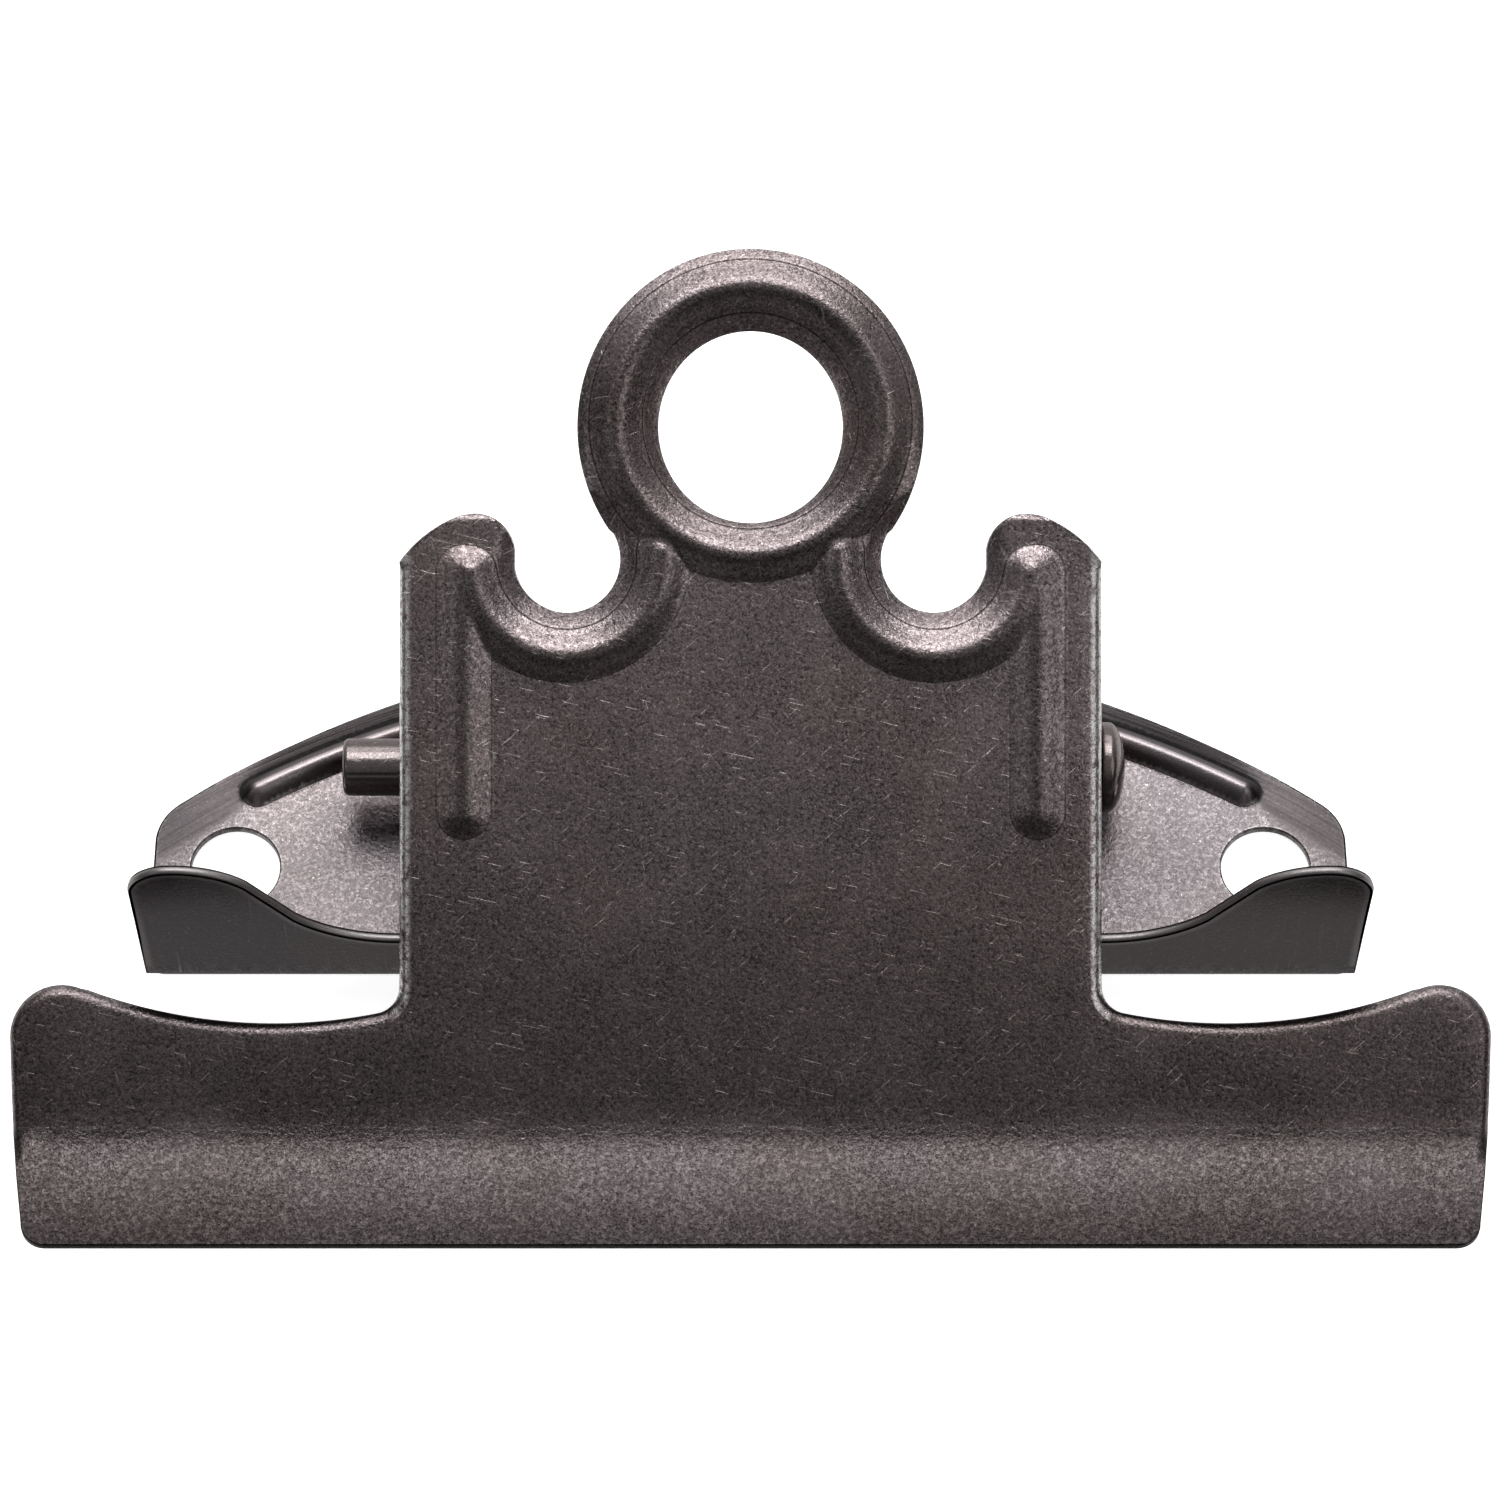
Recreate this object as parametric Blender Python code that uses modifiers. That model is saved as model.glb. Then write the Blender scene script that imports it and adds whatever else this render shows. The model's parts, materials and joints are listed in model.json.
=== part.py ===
"""Spring jaw clip for a writing board: a base plate, a lever plate, the pin they share and its spring.

The lengths below are millimetres, and the helpers turn them into Blender's metres. The origin is on
the underside of the base plate, straight below the pin. +X runs along the pin, +Y points to the hang
ring and +Z points away from the board. The lever plate is drawn in its own frame, whose origin is on
the pin: x runs along the pin, y up the plate towards the ring and z out of the plate's face.
"""

import math

import bmesh
import bpy
from mathutils import Vector

MM = 0.001

# Shared by both stampings
SHEET = 1.0  # thickness of the steel
BEND_OUTER = 1.3  # outer radius of a fold
PIN_HEIGHT = 8.0  # from the underside of the base plate to the pin
REST_ANGLE = 28.0  # degrees between the two plates with the jaw closed

# Lever plate: the column between the hooks and the jaw bar
FACE = 12.0  # from the pin to the front of the plate
BACK = FACE - SHEET
COLUMN_HALF = 36.1
COLUMN_TOP = 21.1
RIM_DEPTH = 1.5  # how far the folded edges reach back from the front
EAR_BOSS = 5.2
EAR_HOLE = 3.1

# Hang ring and hooks
RING_Y = 35.0
RING_OUTER = (17.9, 18.4)
RING_HOLE = (9.4, 9.8)
NOTCH = (18.9, 21.4)
NOTCH_RADIUS = 5.4

# Pressed beads: half width and height above the plate
RING_BEAD = (3.0, 1.65)
HOOK_BEAD = (2.75, 1.4)
RIB_BEAD = (2.45, 1.2)
RING_BEAD_Y = 35.6
RING_BEAD_RADIUS = 13.85
HOOK_BEAD_RADIUS = 9.95
RIB_X = 29.3
RIB_ENDS = (20.0, -4.6)

# Jaw bar and lip
BAR_HALF = 76.15
BAR_DIP = (49.0, -26.3)
BAR_DIP_RADIUS = 55.0
BAR_PEAK = (70.8, -22.35)
BAR_CORNER = 5.35
BAR_SPLIT = -34.0  # where the drawn bar meets the bent jaw
JAW_HALF = (75.8, 74.4)  # at the bend and at the lip's edge
JAW_BEND = -37.4
LIP_LENGTH = 12.3
LIP_CORNER = 2.5

# Base plate
BASE_HALF = 63.2
BASE_TOP = 18.75
BASE_TOP_RADIUS = 103.0
BASE_CORNER = ((60.3, -0.75), (61.9, -2.6), (62.55, -4.8))
MOUNT_HOLE = (54.0, -8.2)
MOUNT_HOLE_RADIUS = 4.65
BASE_RIB = (1.6, 1.4)  # half width and height
BASE_GROOVE = (0.9, 0.7)  # the hollow under the rib
BASE_RIB_TOP = 14.3
BASE_RIB_RADIUS = 107.0
BASE_RIB_END = 52.0
FLANGE_Y = -20.7
FLANGE_LOW = 8.8
FLANGE_HIGH = 24.2
FLANGE_CORNER = 4.6
FLANGE_HOLLOW = (36.2, 13.4)  # where the hollow starts, and its radius
FLANGE_CREST = (58.4, 9.6)  # where the crest ends, and its radius
FLANGE_SLOPE = 50.0
BASE_EAR_OUTER = 34.7
BASE_EAR_HALF = 6.5
BASE_EAR_HOLE = 3.05

# Pin
PIN_RADIUS = 3.0
PIN_LEFT = -42.5
PIN_CHAMFER = 0.6
HEAD_FACE = 36.5
HEAD_RADIUS = 4.7
HEAD_THICK = 2.6
ROUND_STEPS = 32

# Spring
WIRE = 2.1
COIL_RADIUS = 4.45
COIL_TURNS = 9.5
COIL_PITCH = 2.3
COIL_STEPS = 16
BASE_LEG_END = (11.0, 2.35)  # world y and z
LEVER_LEG_END = (17.5, 9.6)  # lever frame y and z

PLATED_STEEL = (0.115, 0.102, 0.099, 1.0)
PIN_STEEL = (0.150, 0.132, 0.126, 1.0)
SPRING_STEEL = (0.205, 0.190, 0.180, 1.0)


def clear_scene():
    for thing in list(bpy.data.objects):
        bpy.data.objects.remove(thing, do_unlink=True)


def new_collection(name):
    group = bpy.data.collections.new(name)
    bpy.context.scene.collection.children.link(group)
    return group


def steel(name, colour, roughness):
    material = bpy.data.materials.new(name)
    material.use_nodes = True
    shader = material.node_tree.nodes["Principled BSDF"]
    shader.inputs["Base Color"].default_value = colour
    shader.inputs["Metallic"].default_value = 1.0
    shader.inputs["Roughness"].default_value = roughness
    return material


def arc(centre, radii, start, end, steps):
    """Points on an ellipse's arc, with both ends, from start to end in degrees."""
    turns = [math.radians(start + (end - start) * i / steps) for i in range(steps + 1)]
    return [(centre[0] + radii[0] * math.cos(t), centre[1] + radii[1] * math.sin(t)) for t in turns]


def round_arc(centre, radius, start, end, steps):
    return arc(centre, (radius, radius), start, end, steps)


def ring_loop(centre, radii, steps):
    return arc(centre, radii, 0.0, 360.0, steps)[:-1]


def arc_through(a, b, c, steps):
    """Points on the circle through three points, from the first to the last."""
    ax, ay, bx, by, cx, cy = a[0], a[1], b[0], b[1], c[0], c[1]
    twice = 2.0 * (ax * (by - cy) + bx * (cy - ay) + cx * (ay - by))
    sa, sb, sc = ax * ax + ay * ay, bx * bx + by * by, cx * cx + cy * cy
    ox = (sa * (by - cy) + sb * (cy - ay) + sc * (ay - by)) / twice
    oy = (sa * (cx - bx) + sb * (ax - cx) + sc * (bx - ax)) / twice
    start, middle, end = (math.degrees(math.atan2(p[1] - oy, p[0] - ox)) for p in (a, b, c))
    sweep = (end - start) % 360.0
    if (middle - start) % 360.0 > sweep:
        sweep -= 360.0
    return round_arc((ox, oy), math.hypot(ax - ox, ay - oy), start, start + sweep, steps)


def mirrored(points):
    """The points, then their mirror image in reverse order, as one closed loop."""
    return points + [(-x, y) for x, y in reversed(points) if abs(x) > 1e-9]


def tangent_angle(point, centre, radius, side):
    """The direction in degrees at which a line from a point outside touches a circle."""
    dx, dy = point[0] - centre[0], point[1] - centre[1]
    return math.degrees(math.atan2(dy, dx) + side * math.acos(radius / math.hypot(dx, dy)))


def face_out(mesh):
    """Welds a mesh's touching corners and turns its faces outwards."""
    work = bmesh.new()
    work.from_mesh(mesh)
    bmesh.ops.remove_doubles(work, verts=work.verts, dist=1e-7)
    bmesh.ops.recalc_face_normals(work, faces=work.faces)
    work.to_mesh(mesh)
    work.free()


def to_mesh(curve_object, group):
    """The curve as a mesh object of the same name, with its caps welded to its sides."""
    bpy.context.view_layer.update()
    graph = bpy.context.evaluated_depsgraph_get()
    mesh = bpy.data.meshes.new_from_object(curve_object.evaluated_get(graph))
    face_out(mesh)
    name = curve_object.name
    bpy.data.objects.remove(curve_object, do_unlink=True)
    made = bpy.data.objects.new(name, mesh)
    group.objects.link(made)
    return made


def prism(name, loops, low, high, group, along="Z"):
    """A flat outline, with any holes as further loops, drawn out between two heights.

    Along Z the outline is (x, y). Along X it is (y, z), and along Y it is (x, z).
    """
    data = bpy.data.curves.new(name, "CURVE")
    data.dimensions = "2D"
    data.fill_mode = "BOTH"
    data.extrude = (high - low) / 2.0 * MM
    for loop in loops:
        spline = data.splines.new("POLY")
        spline.points.add(len(loop) - 1)
        spline.use_cyclic_u = True
        for point, (x, y) in zip(spline.points, loop):
            point.co = (x * MM, y * MM, 0.0, 1.0)
    flat = bpy.data.objects.new(name, data)
    group.objects.link(flat)
    made = to_mesh(flat, group)
    for vertex in made.data.vertices:
        x, y, z = vertex.co
        level = (high if z > 0.0 else low) * MM
        vertex.co = {"Z": (x, y, level), "X": (level, x, y), "Y": (x, level, y)}[along]
    face_out(made.data)
    return made


def tube(name, points, radius, group, closed=False, resolution=4, round_ends=False):
    """A round bar along a line of (x, y, z) points, with flat or ball ends."""
    stations = [(Vector(point), 1.0) for point in points]
    if round_ends:
        stations = ball_end(stations[1][0], stations[0][0], radius)[::-1] + stations
        stations += ball_end(stations[-2][0], stations[-1][0], radius)
    data = bpy.data.curves.new(name, "CURVE")
    data.dimensions = "3D"
    data.bevel_depth = radius * MM
    data.bevel_resolution = resolution
    data.use_fill_caps = not closed
    spline = data.splines.new("POLY")
    spline.points.add(len(stations) - 1)
    spline.use_cyclic_u = closed
    for point, (place, width) in zip(spline.points, stations):
        point.co = (*(place * MM), 1.0)
        point.radius = width
    wire = bpy.data.objects.new(name, data)
    group.objects.link(wire)
    return to_mesh(wire, group)


def ball_end(before, end, radius):
    """Stations past a bar's end, each with its share of the bar's radius, that close it as half a ball."""
    ahead = (end - before).normalized()
    turns = [math.radians(angle) for angle in (22.5, 45.0, 67.5, 85.0)]
    return [(end + ahead * radius * math.sin(turn), math.cos(turn)) for turn in turns]


def combine(piece, tools, operation, group, solver="EXACT"):
    """Joins the tools to the piece or cuts them away in one step, and removes them.

    The exact solver leaves open edges where round beads meet a plate, so those steps ask for MANIFOLD.
    """
    kit = bpy.data.collections.new("kit")
    group.children.link(kit)
    for tool in tools:
        kit.objects.link(tool)
    step = piece.modifiers.new(operation.lower(), "BOOLEAN")
    step.operation = operation
    step.solver = solver
    step.operand_type = "COLLECTION"
    step.collection = kit
    bpy.context.view_layer.update()
    graph = bpy.context.evaluated_depsgraph_get()
    mesh = bpy.data.meshes.new_from_object(piece.evaluated_get(graph))
    piece.modifiers.remove(step)
    piece.data = mesh
    for tool in tools:
        bpy.data.objects.remove(tool, do_unlink=True)
    bpy.data.collections.remove(kit)


def bead_radius(bead, inset=0.0):
    """The radius of the round bar whose top stands out of a plate as the bead."""
    half, height = bead
    return (half * half + height * height) / (2.0 * height) - inset


def bead_centre(surface, bead):
    return surface + bead[1] - bead_radius(bead)


def finish_piece(piece, group, construction, material):
    """Moves a finished piece from the construction collection to the clip's own."""
    construction.objects.unlink(piece)
    group.objects.link(piece)
    piece.data.materials.clear()
    piece.data.materials.append(material)
    piece.data.shade_smooth()
    piece.data.set_sharp_from_angle(angle=math.radians(30.0))


def bar_edge():
    """The upper edge of the right half of the jaw bar, from the column to the bar's end."""
    fillet = 2.8
    centre = (BAR_DIP[0], BAR_DIP[1] + BAR_DIP_RADIUS)
    reach = BAR_DIP_RADIUS - fillet
    across = COLUMN_HALF + fillet - centre[0]
    fillet_centre = (COLUMN_HALF + fillet, centre[1] - math.sqrt(reach * reach - across * across))
    touch = math.degrees(math.atan2(fillet_centre[1] - centre[1], across))
    corner = (BAR_HALF - BAR_CORNER, BAR_PEAK[1] - BAR_CORNER)
    lift = math.degrees(math.atan2(corner[1] - centre[1], corner[0] - centre[0]))
    points = round_arc(fillet_centre, fillet, 180.0, 360.0 + touch, 5)
    points += round_arc(centre, BAR_DIP_RADIUS, touch, lift, 12)[1:-1]
    points += round_arc(corner, BAR_CORNER, 112.0, 0.0, 8)
    return points


def lever_outline():
    """The right half of the lever plate, from the top of the ring down to the bar's split."""
    points = arc((0.0, RING_Y), RING_OUTER, 90.0, -35.0, 20)
    points += round_arc(NOTCH, NOTCH_RADIUS, 145.0, 350.0, 16)
    points += arc_through((24.2, 22.3), (25.5, 25.0), (28.6, 26.1), 5)
    points += arc_through((29.8, 25.9), (33.4, 23.9), (COLUMN_HALF, COLUMN_TOP), 4)
    points += bar_edge()
    points += [(JAW_HALF[0] + 0.15, BAR_SPLIT)]
    return points


def lever_hollow():
    """The space behind the plate, which leaves a folded rim beside the column and the bar."""
    inner = COLUMN_HALF - SHEET
    edge = bar_edge()
    points = [(0.0, 60.0), (50.0, 60.0), (50.0, COLUMN_TOP + 0.4), (inner, COLUMN_TOP + 0.4)]
    for before, here, after in zip(edge, edge[1:], edge[2:]):
        dx, dy = after[0] - before[0], after[1] - before[1]
        length = math.hypot(dx, dy)
        points.append((here[0] + dy / length * SHEET, here[1] - dx / length * SHEET))
    points += [(BAR_HALF - SHEET, points[-1][1] - 1.0), (JAW_HALF[0] + 0.15 - SHEET, BAR_SPLIT - 1.0)]
    return points


def fold_front_edges(block):
    """Rounds the front edges of the block along the column's sides, the bar and its ends."""
    work = bmesh.new()
    work.from_mesh(block.data)

    def folded(point):
        low_enough = point.y < (COLUMN_TOP + 0.01) * MM
        return low_enough and (abs(point.x) > (COLUMN_HALF - 0.05) * MM or point.y < -22.0 * MM)

    chosen = []
    for edge in work.edges:
        a, b = edge.verts[0].co, edge.verts[1].co
        front = min(a.z, b.z) > (FACE - 0.01) * MM
        split = max(a.y, b.y) < (BAR_SPLIT + 0.01) * MM
        if front and folded(a) and folded(b) and not split and len(edge.link_faces) == 2:
            if edge.calc_face_angle() > 1.0:
                chosen.append(edge)
    bmesh.ops.bevel(
        work,
        geom=chosen,
        offset=BEND_OUTER * MM,
        offset_type="OFFSET",
        segments=3,
        profile=0.5,
        affect="EDGES",
    )
    work.to_mesh(block.data)
    work.free()


def bead_paths():
    """Each pressed bead of the lever plate: its name, section, points and whether it is a loop."""
    paths = [("ring_bead", RING_BEAD, ring_loop((0.0, RING_BEAD_Y), (RING_BEAD_RADIUS,) * 2, 48), True)]
    for side in (-1.0, 1.0):
        hook = round_arc(NOTCH, HOOK_BEAD_RADIUS, -6.0, -176.0, 14)
        rib = [(RIB_X, RIB_ENDS[0]), (RIB_X, (RIB_ENDS[0] + RIB_ENDS[1]) / 2.0), (RIB_X, RIB_ENDS[1])]
        paths.append((f"hook_bead_{side:+.0f}", HOOK_BEAD, [(side * x, y) for x, y in hook], False))
        paths.append((f"rib_{side:+.0f}", RIB_BEAD, [(side * x, y) for x, y in rib], False))
    return paths


def bead_bars(paths, surface, group, inset=0.0):
    """The bars that press the beads out of a plate or, with an inset of one sheet, hollow their backs."""
    bars = []
    for name, bead, points, closed in paths:
        height = bead_centre(surface, bead)
        line = [(x, y, height) for x, y in points]
        bars.append(
            tube(name, line, bead_radius(bead, inset), group, closed, resolution=5, round_ends=not closed)
        )
    return bars


def jaw_section():
    """The side view of the bent jaw, as (y, z) in the lever's frame: plate, bend, then lip."""
    down = math.radians(REST_ANGLE)
    lip = (-math.cos(down), math.sin(down))
    out = (math.sin(down), math.cos(down))
    bend_centre = (JAW_BEND + BEND_OUTER * math.tan(down / 2.0), FACE + BEND_OUTER)
    inner = round_arc(bend_centre, BEND_OUTER, 270.0, 270.0 - REST_ANGLE, 5)
    outer = round_arc(bend_centre, BEND_OUTER + SHEET, 270.0 - REST_ANGLE, 270.0, 5)
    far = (inner[-1][0] + lip[0] * LIP_LENGTH, inner[-1][1] + lip[1] * LIP_LENGTH)
    under = (far[0] - out[0] * SHEET, far[1] - out[1] * SHEET)
    return [(BAR_SPLIT + 1.0, FACE)] + inner + [far, under] + outer + [(BAR_SPLIT + 1.0, BACK)]


def jaw_plan():
    """The right half of the jaw seen square to the plate."""
    end = JAW_BEND - LIP_LENGTH * math.cos(math.radians(REST_ANGLE)) - 0.6
    corner = (JAW_HALF[1] - LIP_CORNER, end + LIP_CORNER)
    side = [(0.0, BAR_SPLIT + 1.5), (JAW_HALF[0] + 0.05, BAR_SPLIT + 1.5), (JAW_HALF[0], JAW_BEND)]
    return side + round_arc(corner, LIP_CORNER, 0.0, -90.0, 6) + [(0.0, end)]


def ear_outline():
    """The side view of one folded ear, as (y, z) in the lever's frame, round the pin hole."""
    high = (COLUMN_TOP - 0.3, 9.0)
    low = (-14.6, 9.7)
    start = tangent_angle(high, (0.0, 0.0), EAR_BOSS, -1.0)
    end = tangent_angle(low, (0.0, 0.0), EAR_BOSS, 1.0) - 360.0
    boss = round_arc((0.0, 0.0), EAR_BOSS, start, end, 10)
    root = FACE - BEND_OUTER - 0.1
    return [(high[0], root), high] + boss + [low, (-15.2, root)]


def lever_plate(group, construction):
    piece = prism("lever_plate", [mirrored(lever_outline())], FACE - RIM_DEPTH, FACE, construction)
    fold_front_edges(piece)
    combine(piece, bead_bars(bead_paths(), FACE, construction), "UNION", construction, "MANIFOLD")
    ring_hole = prism("ring_hole", [ring_loop((0.0, RING_Y), RING_HOLE, 40)], -1.0, 20.0, construction)
    hollow = prism("hollow", [mirrored(lever_hollow())], -2.0, BACK, construction)
    grooves = bead_bars(bead_paths(), FACE, construction, inset=SHEET)
    combine(piece, [ring_hole, hollow] + grooves, "DIFFERENCE", construction, "MANIFOLD")
    jaw = prism("jaw", [jaw_section()], -BAR_HALF - 1.0, BAR_HALF + 1.0, construction, along="X")
    plan = prism("jaw_plan", [mirrored(jaw_plan())], 0.0, 30.0, construction)
    combine(jaw, [plan], "INTERSECT", construction)
    pin_hole = ring_loop((0.0, 0.0), (EAR_HOLE, EAR_HOLE), ROUND_STEPS)
    ears = [
        prism("ear", [ear_outline(), pin_hole], low, low + SHEET, construction, along="X")
        for low in (-COLUMN_HALF, COLUMN_HALF - SHEET)
    ]
    combine(piece, [jaw] + ears, "UNION", construction)
    finish_piece(piece, group, construction, steel("lever_steel", PLATED_STEEL, 0.38))
    return piece


def base_outline():
    """The right half of the flat part of the base plate."""
    centre = (0.0, BASE_TOP - BASE_TOP_RADIUS)
    end = math.degrees(math.acos(BASE_CORNER[0][0] / BASE_TOP_RADIUS))
    top = round_arc(centre, BASE_TOP_RADIUS, 90.0, end, 14)
    return top + arc_through(*BASE_CORNER, 4)[1:] + [(BASE_HALF, FLANGE_Y + 2.0), (0.0, FLANGE_Y + 2.0)]


def flange_top():
    """The right half of the flange's free edge, low behind the lever and high at the ends."""
    hollow_x, hollow_radius = FLANGE_HOLLOW
    crest_x, crest_radius = FLANGE_CREST
    hollow = round_arc(
        (hollow_x, FLANGE_LOW + hollow_radius), hollow_radius, 270.0, 270.0 + FLANGE_SLOPE, 8
    )
    crest_y = FLANGE_HIGH - crest_radius
    crest = round_arc((crest_x, crest_y), crest_radius, 90.0 + FLANGE_SLOPE, 90.0, 7)
    corner_centre = (BASE_HALF - FLANGE_CORNER, FLANGE_HIGH - FLANGE_CORNER)
    corner = round_arc(corner_centre, FLANGE_CORNER, 90.0, 0.0, 6)
    return hollow + crest[:-1] + corner


def flange_section():
    """The side view of the fold between plate and flange, as (y, z)."""
    outer = round_arc((FLANGE_Y + BEND_OUTER, BEND_OUTER), BEND_OUTER, 270.0, 180.0, 5)
    inner = round_arc((FLANGE_Y + BEND_OUTER, BEND_OUTER), BEND_OUTER - SHEET, 180.0, 270.0, 4)
    tall = FLANGE_HIGH + 1.0
    near = FLANGE_Y + 3.0
    return [(near, 0.0)] + outer + [(FLANGE_Y, tall), (FLANGE_Y + SHEET, tall)] + inner + [(near, SHEET)]


def base_ear():
    """One upright ear of the base plate, as (y, z), with its pin hole."""
    centre = (0.0, PIN_HEIGHT)
    foot = (BASE_EAR_HALF, 0.5)
    start = tangent_angle(foot, centre, EAR_BOSS, 1.0)
    boss = round_arc(centre, EAR_BOSS, start, 180.0 - start, 14)
    return [[(-BASE_EAR_HALF, 0.5), foot] + boss, ring_loop(centre, (BASE_EAR_HOLE, BASE_EAR_HOLE), ROUND_STEPS)]


def base_rib(section):
    """The rib that follows the plate's arched edge, as one bead of the given section."""
    end = math.degrees(math.acos(BASE_RIB_END / BASE_RIB_RADIUS))
    path = round_arc((0.0, BASE_RIB_TOP - BASE_RIB_RADIUS), BASE_RIB_RADIUS, end, 180.0 - end, 24)
    return [("base_rib", section, path, False)]


def base_plate(group, construction):
    piece = prism("base_plate", [mirrored(base_outline())], -SHEET, SHEET, construction)
    rib = bead_bars(base_rib(BASE_RIB), SHEET, construction)
    combine(piece, rib, "UNION", construction, "MANIFOLD")
    cuts = [prism("below", [[(-70, -30), (70, -30), (70, 30), (-70, 30)]], -6.0, 0.0, construction)]
    cuts += bead_bars(base_rib(BASE_GROOVE), 0.0, construction)
    inner = BASE_EAR_OUTER - SHEET
    for side in (-1.0, 1.0):
        hole = ring_loop((side * MOUNT_HOLE[0], MOUNT_HOLE[1]), (MOUNT_HOLE_RADIUS,) * 2, ROUND_STEPS)
        cuts.append(prism("mount_hole", [hole], -3.0, 4.0, construction))
        near, far = side * (inner - PIN_HEIGHT - EAR_BOSS + SHEET), side * inner
        window = [(near, -BASE_EAR_HALF), (far, -BASE_EAR_HALF), (far, BASE_EAR_HALF), (near, BASE_EAR_HALF)]
        cuts.append(prism("window", [window], -3.0, 4.0, construction))
    combine(piece, cuts, "DIFFERENCE", construction, "MANIFOLD")
    flange = prism("flange", [flange_section()], -BASE_HALF, BASE_HALF, construction, along="X")
    trim = mirrored([(0.0, 40.0), (80.0, 40.0), (80.0, FLANGE_HIGH - FLANGE_CORNER)] + flange_top()[::-1])
    above = prism("above", [trim], FLANGE_Y - 1.0, FLANGE_Y + 4.0, construction, along="Y")
    combine(flange, [above], "DIFFERENCE", construction)
    ears = []
    for side in (-1.0, 1.0):
        low, high = sorted((side * inner, side * BASE_EAR_OUTER))
        ears.append(prism("base_ear", base_ear(), low, high, construction, along="X"))
    combine(piece, [flange] + ears, "UNION", construction)
    finish_piece(piece, group, construction, steel("base_steel", PLATED_STEEL, 0.42))
    return piece


def pivot_pin(group, construction):
    """A turned pin along X, domed at the right and chamfered at the left."""
    dome_start = HEAD_THICK * 0.45
    profile = [(HEAD_FACE + HEAD_THICK, 0.0)]
    profile += arc((HEAD_FACE + dome_start, 0.0), (HEAD_THICK - dome_start, HEAD_RADIUS), 15.0, 90.0, 6)
    profile += [(HEAD_FACE + 0.3, HEAD_RADIUS), (HEAD_FACE, HEAD_RADIUS - 0.3), (HEAD_FACE, PIN_RADIUS)]
    profile += [(PIN_LEFT + PIN_CHAMFER, PIN_RADIUS), (PIN_LEFT, PIN_RADIUS - PIN_CHAMFER), (PIN_LEFT, 0.0)]
    mesh = bpy.data.meshes.new("pivot_pin")
    corners = [(radius * MM, 0.0, along * MM) for along, radius in profile]
    mesh.from_pydata(corners, [(i, i + 1) for i in range(len(corners) - 1)], [])
    piece = bpy.data.objects.new("pivot_pin", mesh)
    construction.objects.link(piece)
    turn = piece.modifiers.new("turn", "SCREW")
    turn.axis = "Z"
    turn.steps = ROUND_STEPS
    turn.render_steps = ROUND_STEPS
    turn.use_merge_vertices = True
    turn.merge_threshold = 0.000001
    finish_piece(piece, group, construction, steel("pin_steel", PIN_STEEL, 0.34))
    return piece


def spring_points():
    """The wire's centre line: base leg, coil, lever leg, as (x, y, z) about the pin."""
    half = COIL_TURNS * COIL_PITCH / 2.0
    leg_y, leg_z = BASE_LEG_END
    base_end = (-half - COIL_PITCH * 0.2, leg_y, leg_z - PIN_HEIGHT)
    tilt = math.radians(REST_ANGLE)
    lever_y, lever_z = LEVER_LEG_END
    lever_end = (
        half + COIL_PITCH * 0.2,
        lever_y * math.cos(tilt) - lever_z * math.sin(tilt),
        lever_y * math.sin(tilt) + lever_z * math.cos(tilt),
    )
    first = math.radians(tangent_angle(base_end[1:], (0.0, 0.0), COIL_RADIUS, -1.0))
    last = math.radians(tangent_angle(lever_end[1:], (0.0, 0.0), COIL_RADIUS, 1.0))
    sweep = -(first - last) % (2.0 * math.pi) - 2.0 * math.pi * math.ceil(COIL_TURNS)
    steps = round(abs(sweep) / (2.0 * math.pi) * COIL_STEPS)
    points = [base_end]
    for i in range(steps + 1):
        turn = first + sweep * i / steps
        along = -half + 2.0 * half * i / steps
        points.append((along, COIL_RADIUS * math.cos(turn), COIL_RADIUS * math.sin(turn)))
    return points + [lever_end]


def torsion_spring(group, construction):
    piece = tube("torsion_spring", spring_points(), WIRE / 2.0, construction, resolution=2)
    finish_piece(piece, group, construction, steel("spring_steel", SPRING_STEEL, 0.3))
    return piece


def main():
    clear_scene()
    clip = new_collection("board_clip")
    construction = new_collection("construction")
    pivot = bpy.data.objects.new("lever_pivot", None)
    pivot.location = (0.0, 0.0, PIN_HEIGHT * MM)
    pivot.rotation_euler = (math.radians(REST_ANGLE), 0.0, 0.0)
    clip.objects.link(pivot)
    lever_plate(clip, construction).parent = pivot
    base_plate(clip, construction)
    pin = pivot_pin(clip, construction)
    pin.location = (0.0, 0.0, PIN_HEIGHT * MM)
    pin.rotation_euler = (0.0, math.radians(90.0), 0.0)
    spring = torsion_spring(clip, construction)
    spring.location = (0.0, 0.0, PIN_HEIGHT * MM)
    bpy.data.collections.remove(construction)


main()
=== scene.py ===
"""Looks of the spring jaw clip: both stampings, the pin and the spring as fine meshes in antiqued nickel.

Lengths are millimetres until a mesh is made. Each stamping is drawn as its flat blank, x across and s up
the blank, with a height h out of its front, and is then bent into shape. The lever plate is drawn in its
own frame, whose origin is on the pin: x along the pin, v up the plate to the hang ring, d out of its face.
"""

import json
import math

import bmesh
import bpy
import numpy as np
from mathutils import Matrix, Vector
from mathutils.geometry import delaunay_2d_cdt


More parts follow.
